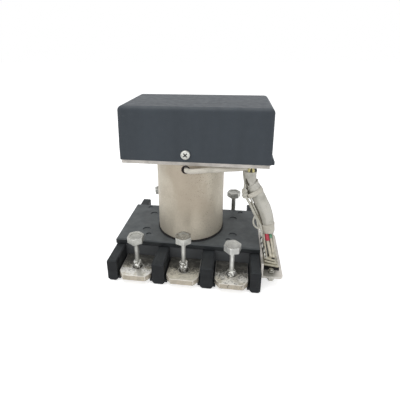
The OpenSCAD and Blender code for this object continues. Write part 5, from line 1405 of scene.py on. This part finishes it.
    def _sleeve(self) -> None:
        """Makes the upper sleeve and, over its end, the main sleeve with its open mouth."""
        route = curve_points(self.sleeve, self.sleeve_steps)
        places, widths = [v.to_3d() for v in route], [v[3] for v in route]
        places = [places[0] + Vector((0, 0, 0.4)), *places, places[-1] - Vector((0, 0, 0.4))]
        widths = [widths[0], *widths, widths[-1]]
        end = self.split + self.overlap
        upper = Tube(places[:end], [w - 0.15 for w in widths[:end]], 44,
                     bulge=self._creases(0.22, 0.44, 0.35, 3.0, (0.8, 0.45, 0.13)), soil_and_shade=self._flank_soil_and_shade(0.35))
        self.shop.piece("sleeve_upper", upper.build(), Slot.SLEEVE, replaces=("harness_sleeve",))
        mouth = [w + 0.55 * max(0.0, 1 - i / 10) for i, w in enumerate(widths[self.split:])]
        main = Tube(places[self.split:], mouth, 52, False, bulge=self._creases(0.32, 0.36, 0.7, 9.0),
                    soil_and_shade=self._flank_soil_and_shade(0.9)).build()
        turn_of, along_of = (main.verts.layers.float[key] for key in ("turn", "along"))
        for vert in main.verts:
            lift = max(0.0, 1.0 - vert[along_of] / 7.0) * (0.2 + 1.3 * math.cos(vert[turn_of] * math.tau))
            vert.co.z += lift * MM
        self.shop.thicken(self.shop.piece("sleeve_main", main, Slot.SLEEVE), 0.45)

    def _tape(self) -> None:
        """Makes the cloth tape round the sleeve: over the lacing above, and at its lower end."""
        route = curve_points(self.sleeve, self.sleeve_steps)
        bands = []
        for first, last, lift, seed, hump in self.bands:
            widths = [v[3] + lift for v in route[first:last]]
            widths[0] -= 0.2
            widths[-1] -= 0.25
            relief = self._creases(0.18, 0.2, 0.35, seed, (hump, 0.43, 0.11))
            bands.append(Tube([v.to_3d() for v in route[first:last]], widths, 60, False, bulge=relief).build())
        self.shop.thicken(self.shop.piece("sleeve_tape", joined(bands), Slot.TAPE, replaces=("cable_ties",)), 0.35)

    def _slit_shade(self) -> None:
        """Makes the dark pieces that paint the shade where the sleeve's edges part, and beside them the fold in darker
        cloth, as painted shade.
        """
        shapes = [Tube.along(points, 6, 12) for points in (*self.slits, self.slit_shade)]
        self.shop.piece("sleeve_slit_shade", joined(shapes), Slot.SLEEVE, finish=self.slit_shade_cloth)
        self.shop.piece("sleeve_fold", Tube.along(self.fold, 6, 14), Slot.SLEEVE, finish=self.fold_cloth)

    @staticmethod
    def _plies(points: Route, plies: int, pitch: float, steps: int, wanted: Sequence[int] = ()) -> bmesh.types.BMesh:
        """Twists thin plies round a route, as in laid cord.

        Args:
            points: Places with the cord's radius.
            plies: Number of plies.
            pitch: Length of one turn.
            steps: Steps between two points.
            wanted: The plies to make, where not all.

        Returns:
            The cord's shape.
        """
        route = curve_points(points, steps)
        places = [v.to_3d() for v in route]
        shapes = []
        frames = Tube(places, 1.0).frames()
        for ply in wanted or range(plies):
            run, line, widths = 0.0, [], []
            for i, place in enumerate(places):
                run += (places[i] - places[i - 1]).length if i else 0.0
                angle = math.tau * (run / pitch + ply / plies)
                size = route[i][3]
                side, over = (frames[i].col[j].to_3d().normalized() for j in (0, 1))
                line.append(place + (side * math.cos(angle) + over * math.sin(angle)) * size * 0.46)
                widths.append(size * 0.56)
            shapes.append(Tube(line, widths, 8).build())
        return joined(shapes)

    def _knot(self) -> bmesh.types.BMesh:
        """Makes the knot that gathers the lacing beside the sleeve.

        Returns:
            The knot's shape.
        """
        x, y, z = self.knot
        points = [(x + 0.45 * (math.sin(t) + 2.0 * math.sin(2 * t)), y + 0.75 * math.sin(3 * t),
                   z + 1.3 * (math.cos(t) - 1.9 * math.cos(2 * t)), 0.98)
                  for t in (math.tau * i / 56 for i in range(57))]
        wrap = [(x + 0.3 + 1.5 * math.cos(t), y + 1.2 * math.sin(t), z - 1.6 + 0.7 * math.cos(t), 0.85)
                for t in (math.tau * i / 24 for i in range(25))]
        return joined([self._plies(points, 3, 4.4, 2), self._plies(wrap, 3, 3.6, 2)])

    def _lacing(self) -> None:
        """Makes the laid cord beside the sleeve: strands, loops, hem and knot."""
        shapes = [self._plies(*strand) for strand in (
            (self.long_lace, 3, 5.2, 10), (self.short_lace, 2, 4.4, 8), (self.loop_lace, 3, 4.6, 8),
            (self.inner_lace, 2, 3.6, 6), (self.hem, 2, 4.0, 8))]
        self.shop.piece("lacing_cord", joined([*shapes, self._knot()]), Slot.LACING, replaces=("lacing",))

    def _wire_path(self, ends: Sequence[float], sway: float) -> list[Vector]:
        """Gives the path of a wire from the sleeve's end to the clamp.

        Args:
            ends: Start about the sleeve's end and end about the clamp's middle, X and Y of each.
            sway: Size of the wire's own waviness.

        Returns:
            The path's points, in millimetres.
        """
        top = Vector(self.foot) + Vector((ends[0], ends[1], 0))
        end = Vector(self.landing) + Vector((ends[2], ends[3], 0))
        path = []
        for i in range(17):
            t = i / 16
            k = 0.5 * t + 0.5 * t * t * (3 - 2 * t)
            wave = math.sin(t * math.pi) * sway
            path.append(Vector((top.x + k * (end.x - top.x) + wave * math.sin(5 * t + ends[0]),
                                top.y + k * (end.y - top.y) + wave * math.cos(4 * t + ends[1]),
                                top.z + t * (end.z - top.z))))
        return path

    def _fan(self) -> None:
        """Makes the wires between the sleeve and the clamp: bright ones in front of dark ones, which paint the shade in
        the gaps between them.
        """
        mark = Vector((1, 0.2, 0))
        shapes = [Tube(curve_points(points, 7), radius, 14, mark=mark).build() for radius, points in self.bright_wires]
        shapes += [Tube(self._wire_path(ends, 0.25), 0.65, 12, mark=mark).build() for ends in self.fan]
        self.shop.piece("fan_wires", joined(shapes), Slot.WIRE, replaces=("harness_wires", "marked_wires"))
        # dark wires behind the front row: painted shade in the gaps
        shapes = [Tube(self._wire_path(ends, 0.2), 0.6, 10, mark=mark).build() for ends in self.shade_wires]
        self.shop.piece("fan_wires_dark", joined(shapes), Slot.WIRE, finish=self.dark)

    def _markers(self) -> None:
        """Makes the two coloured markers on the wires below the sleeve."""
        for name, wire, rings, radius, finish in (("marker_red", 1, 8, 1.55, self.red),
                                                  ("marker_green", 2, 6, 1.2, self.green)):
            path = curve_points(self.bright_wires[wire][1], 8)[:rings]
            widths = [radius * (1 - 0.14 * (i == rings - 1) - 0.04 * math.sin(i * 1.1) ** 2) for i in range(rings)]
            self.shop.piece(name, Tube(path, widths, 28, mark=Vector((1, 0.2, 0))).build(), Slot.MARKS, finish=finish)

    def _drain(self) -> None:
        """Makes the twisted drain wire with its dark companion, from the lacing down to the clamp."""
        bare, covered = (self._plies(self.drain, 3, 4.4, 10, wanted) for wanted in ((0, 1), (2,)))
        self.shop.piece("drain_wire", bare, Slot.PLATED)
        self.shop.piece("drain_companion", covered, Slot.WIRE, finish=self.dark)

    def _trunk(self) -> None:
        """Makes the bundle of wires that comes down from the board, with yellow and dark ones in front."""
        shapes: dict[str, list[bmesh.types.BMesh]] = {"beige": [], "yellow": [], "dark": []}
        for i in range(9):
            ring, angle = (1.3, math.tau * i / 7) if i < 7 else (0.4, math.pi * i)
            off = Vector((ring * math.cos(angle), ring * math.sin(angle), 0))
            shapes["beige"].append(Tube([v + off for v in curve_points(self.trunk, 5)], 0.6, 10).build())
        for kind, x, y in self.trunk_front:
            inner = 48 + (x - 48) * 0.35
            points = ((x, y, 80.2), (x, y, 82), ((x + inner) / 2, y + 0.5, 84.2), (inner, -16.2, 88),
                      (inner, -15.9, 94), (inner, -15.8, 100.3))
            shapes[kind].append(Tube(curve_points(points, 5), 0.86 if kind == "yellow" else 0.5, 12).build())
        self.shop.piece("trunk_wires", joined(shapes["beige"]), Slot.WIRE)
        self.shop.piece("trunk_wires_yellow", joined(shapes["yellow"]), Slot.MARKS, finish=self.yellow)
        self.shop.piece("trunk_wires_dark", joined(shapes["dark"]), Slot.WIRE, finish=self.dark)

    def _lead(self) -> None:
        """Makes the coil lead in its woven sleeve."""
        route = curve_points(self.lead, 8)
        route = [route[0] - Vector((0, 0, 0.4)), *route, route[-1] - Vector((0, 0, 0.35))]
        tube = Tube(route, 1.85, 24, mark=Vector((0.1, 0, 1)), bulge=self._creases(0.12, 0.3, 0.0, 4.0))
        self.shop.piece("lead_tube", tube.build(), Slot.LEAD, replaces=("coil_lead",))


# Picture


@dataclass
class Studio:
    """Camera, pale floor and plain soft light."""

    eye: tuple[float, float, float] = (33.492, -241.25, 169.813)
    azimuth: float = 8.04
    elevation: float = 19.856
    roll: float = 0.412
    lens: float = 28.9
    shift: tuple[float, float] = (0.025, -0.1)
    floor_size: float = 3.0
    sky: float = 0.47
    glow: float = 0.62
    target: tuple[float, float, float] = (0.0, 0.0, 0.06)
    lamps: Sequence[tuple[str, tuple[float, float, float], float, float]] = (
        ("overhead", (-0.12, -0.1, 0.95), 0.8, 4.0), ("front_left", (-0.6, -0.75, 0.5), 0.6, 2.0),
        ("front_right", (0.8, -0.45, 0.35), 0.5, 1.2))

    def camera(self) -> None:
        """Sets the camera at the photograph's viewing angle."""
        turn, tilt, roll = (math.radians(a) for a in (self.azimuth, self.elevation, self.roll))
        ahead = Vector((-math.sin(turn) * math.cos(tilt), math.cos(turn) * math.cos(tilt), -math.sin(tilt)))
        level = Vector((math.cos(turn), math.sin(turn), 0))
        down = ahead.cross(level)
        right = level * math.cos(roll) + down * math.sin(roll)
        up = level * math.sin(roll) - down * math.cos(roll)
        data = bpy.data.cameras.new("photo_camera")
        data.sensor_width, data.lens = 36.0, self.lens
        data.shift_x, data.shift_y = self.shift
        data.clip_start, data.clip_end = 0.01, 20.0
        camera = linked("photo_camera", data)
        camera.matrix_world = Matrix.Translation(Vector(self.eye) * MM) @ Matrix(
            (right, up, -ahead)).transposed().to_4x4()
        bpy.context.scene.camera = camera

    def floor(self) -> None:
        """Makes the pale floor, which the camera sees as white apart from the shadow."""
        material = bpy.data.materials.new("pale_floor")
        material.use_nodes = True
        graph = Graph(material.node_tree)
        graph.tree.nodes.remove(graph.tree.nodes["Principled BSDF"])
        plain = graph.value("BsdfDiffuse", 0, {"Color": (0.86, 0.86, 0.86, 1.0)})
        glow = graph.value("Emission", 0, {"Color": (1.0, 1.0, 1.0, 1.0), "Strength": self.glow})
        seen = graph.value("AddShader", 0, {0: plain, 1: glow})
        mixed = graph.value("MixShader", 0, {0: graph.direct_rays(), 1: plain, 2: seen})
        graph.feed(graph.tree.nodes["Material Output"].inputs["Surface"], mixed)
        shape = bmesh.new()
        bmesh.ops.create_grid(shape, x_segments=6, y_segments=6, size=self.floor_size)
        bmesh.ops.translate(shape, verts=shape.verts, vec=(0, 0, -0.0001))
        mesh = bpy.data.meshes.new("floor")
        shape.to_mesh(mesh)
        shape.free()
        mesh.materials.append(material)
        floor = linked("floor", mesh)

    def sky_light(self) -> None:
        """Sets the world: soft light, and white where a camera, mirror or glass ray meets it."""
        world = bpy.data.worlds.new("studio")
        world.use_nodes = True
        bpy.context.scene.world = world
        graph = Graph(world.node_tree)
        graph.tree.nodes.clear()
        soft = graph.value("Background", 0, {"Color": (0.97, 0.985, 1.0, 1.0), "Strength": self.sky})
        white = graph.value("Background", 0, {"Color": (1.0, 1.0, 1.0, 1.0), "Strength": 1.0})
        mixed = graph.value("MixShader", 0, {0: graph.direct_rays(), 1: soft, 2: white})
        graph.add("OutputWorld", {"Surface": mixed})

    def lamp(self, name: str, place: tuple[float, float, float], size: float, power: float) -> None:
        """Hangs a soft square lamp that looks at the object's middle.

        Args:
            name: Name of the lamp.
            place: Place of the lamp, in metres.
            size: Side of its panel, in metres.
            power: Power, in watts.
        """
        data = bpy.data.lights.new(name, "AREA")
        data.shape, data.size, data.energy = "SQUARE", size, power
        lamp = linked(name, data)
        lamp.location = place
        lamp.rotation_euler = (Vector(self.target) - Vector(place)).to_track_quat("-Z", "Y").to_euler()

    def build(self) -> None:
        """Sets camera, floor, world, lamps and the plain view."""
        self.camera()
        self.floor()
        self.sky_light()
        for lamp in self.lamps:
            self.lamp(*lamp)
        bpy.context.scene.view_settings.view_transform = "Standard"


def dress_rest(shop: Workshop) -> None:
    """Gives every solid that still shows with its plain slot the slot's own finish."""
    for node, thing in shop.frame["nodes"].items():
        if thing.material_slots[0].link == "DATA" and not thing.hide_render:
            LOG.info("%s: dressed at the end", node)
            shop.dress(node)


def main(frame: dict) -> None:
    """Sets up the picture, then builds the sub-assemblies in order.
    """
    Studio().build()
    shop = Workshop(frame, Paintbox())
    for assembly in (Enclosure(shop), Solenoid(shop), Base(shop), SideConnector(shop), Harness(shop)):
        LOG.info("building %s", type(assembly).__name__)
        assembly.build()
    dress_rest(shop)


if __name__ == "__main__":
    logging.basicConfig(level=logging.INFO, format="%(name)s: %(message)s")
    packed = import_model()
    main(packed)
    bpy.context.view_layer.update()
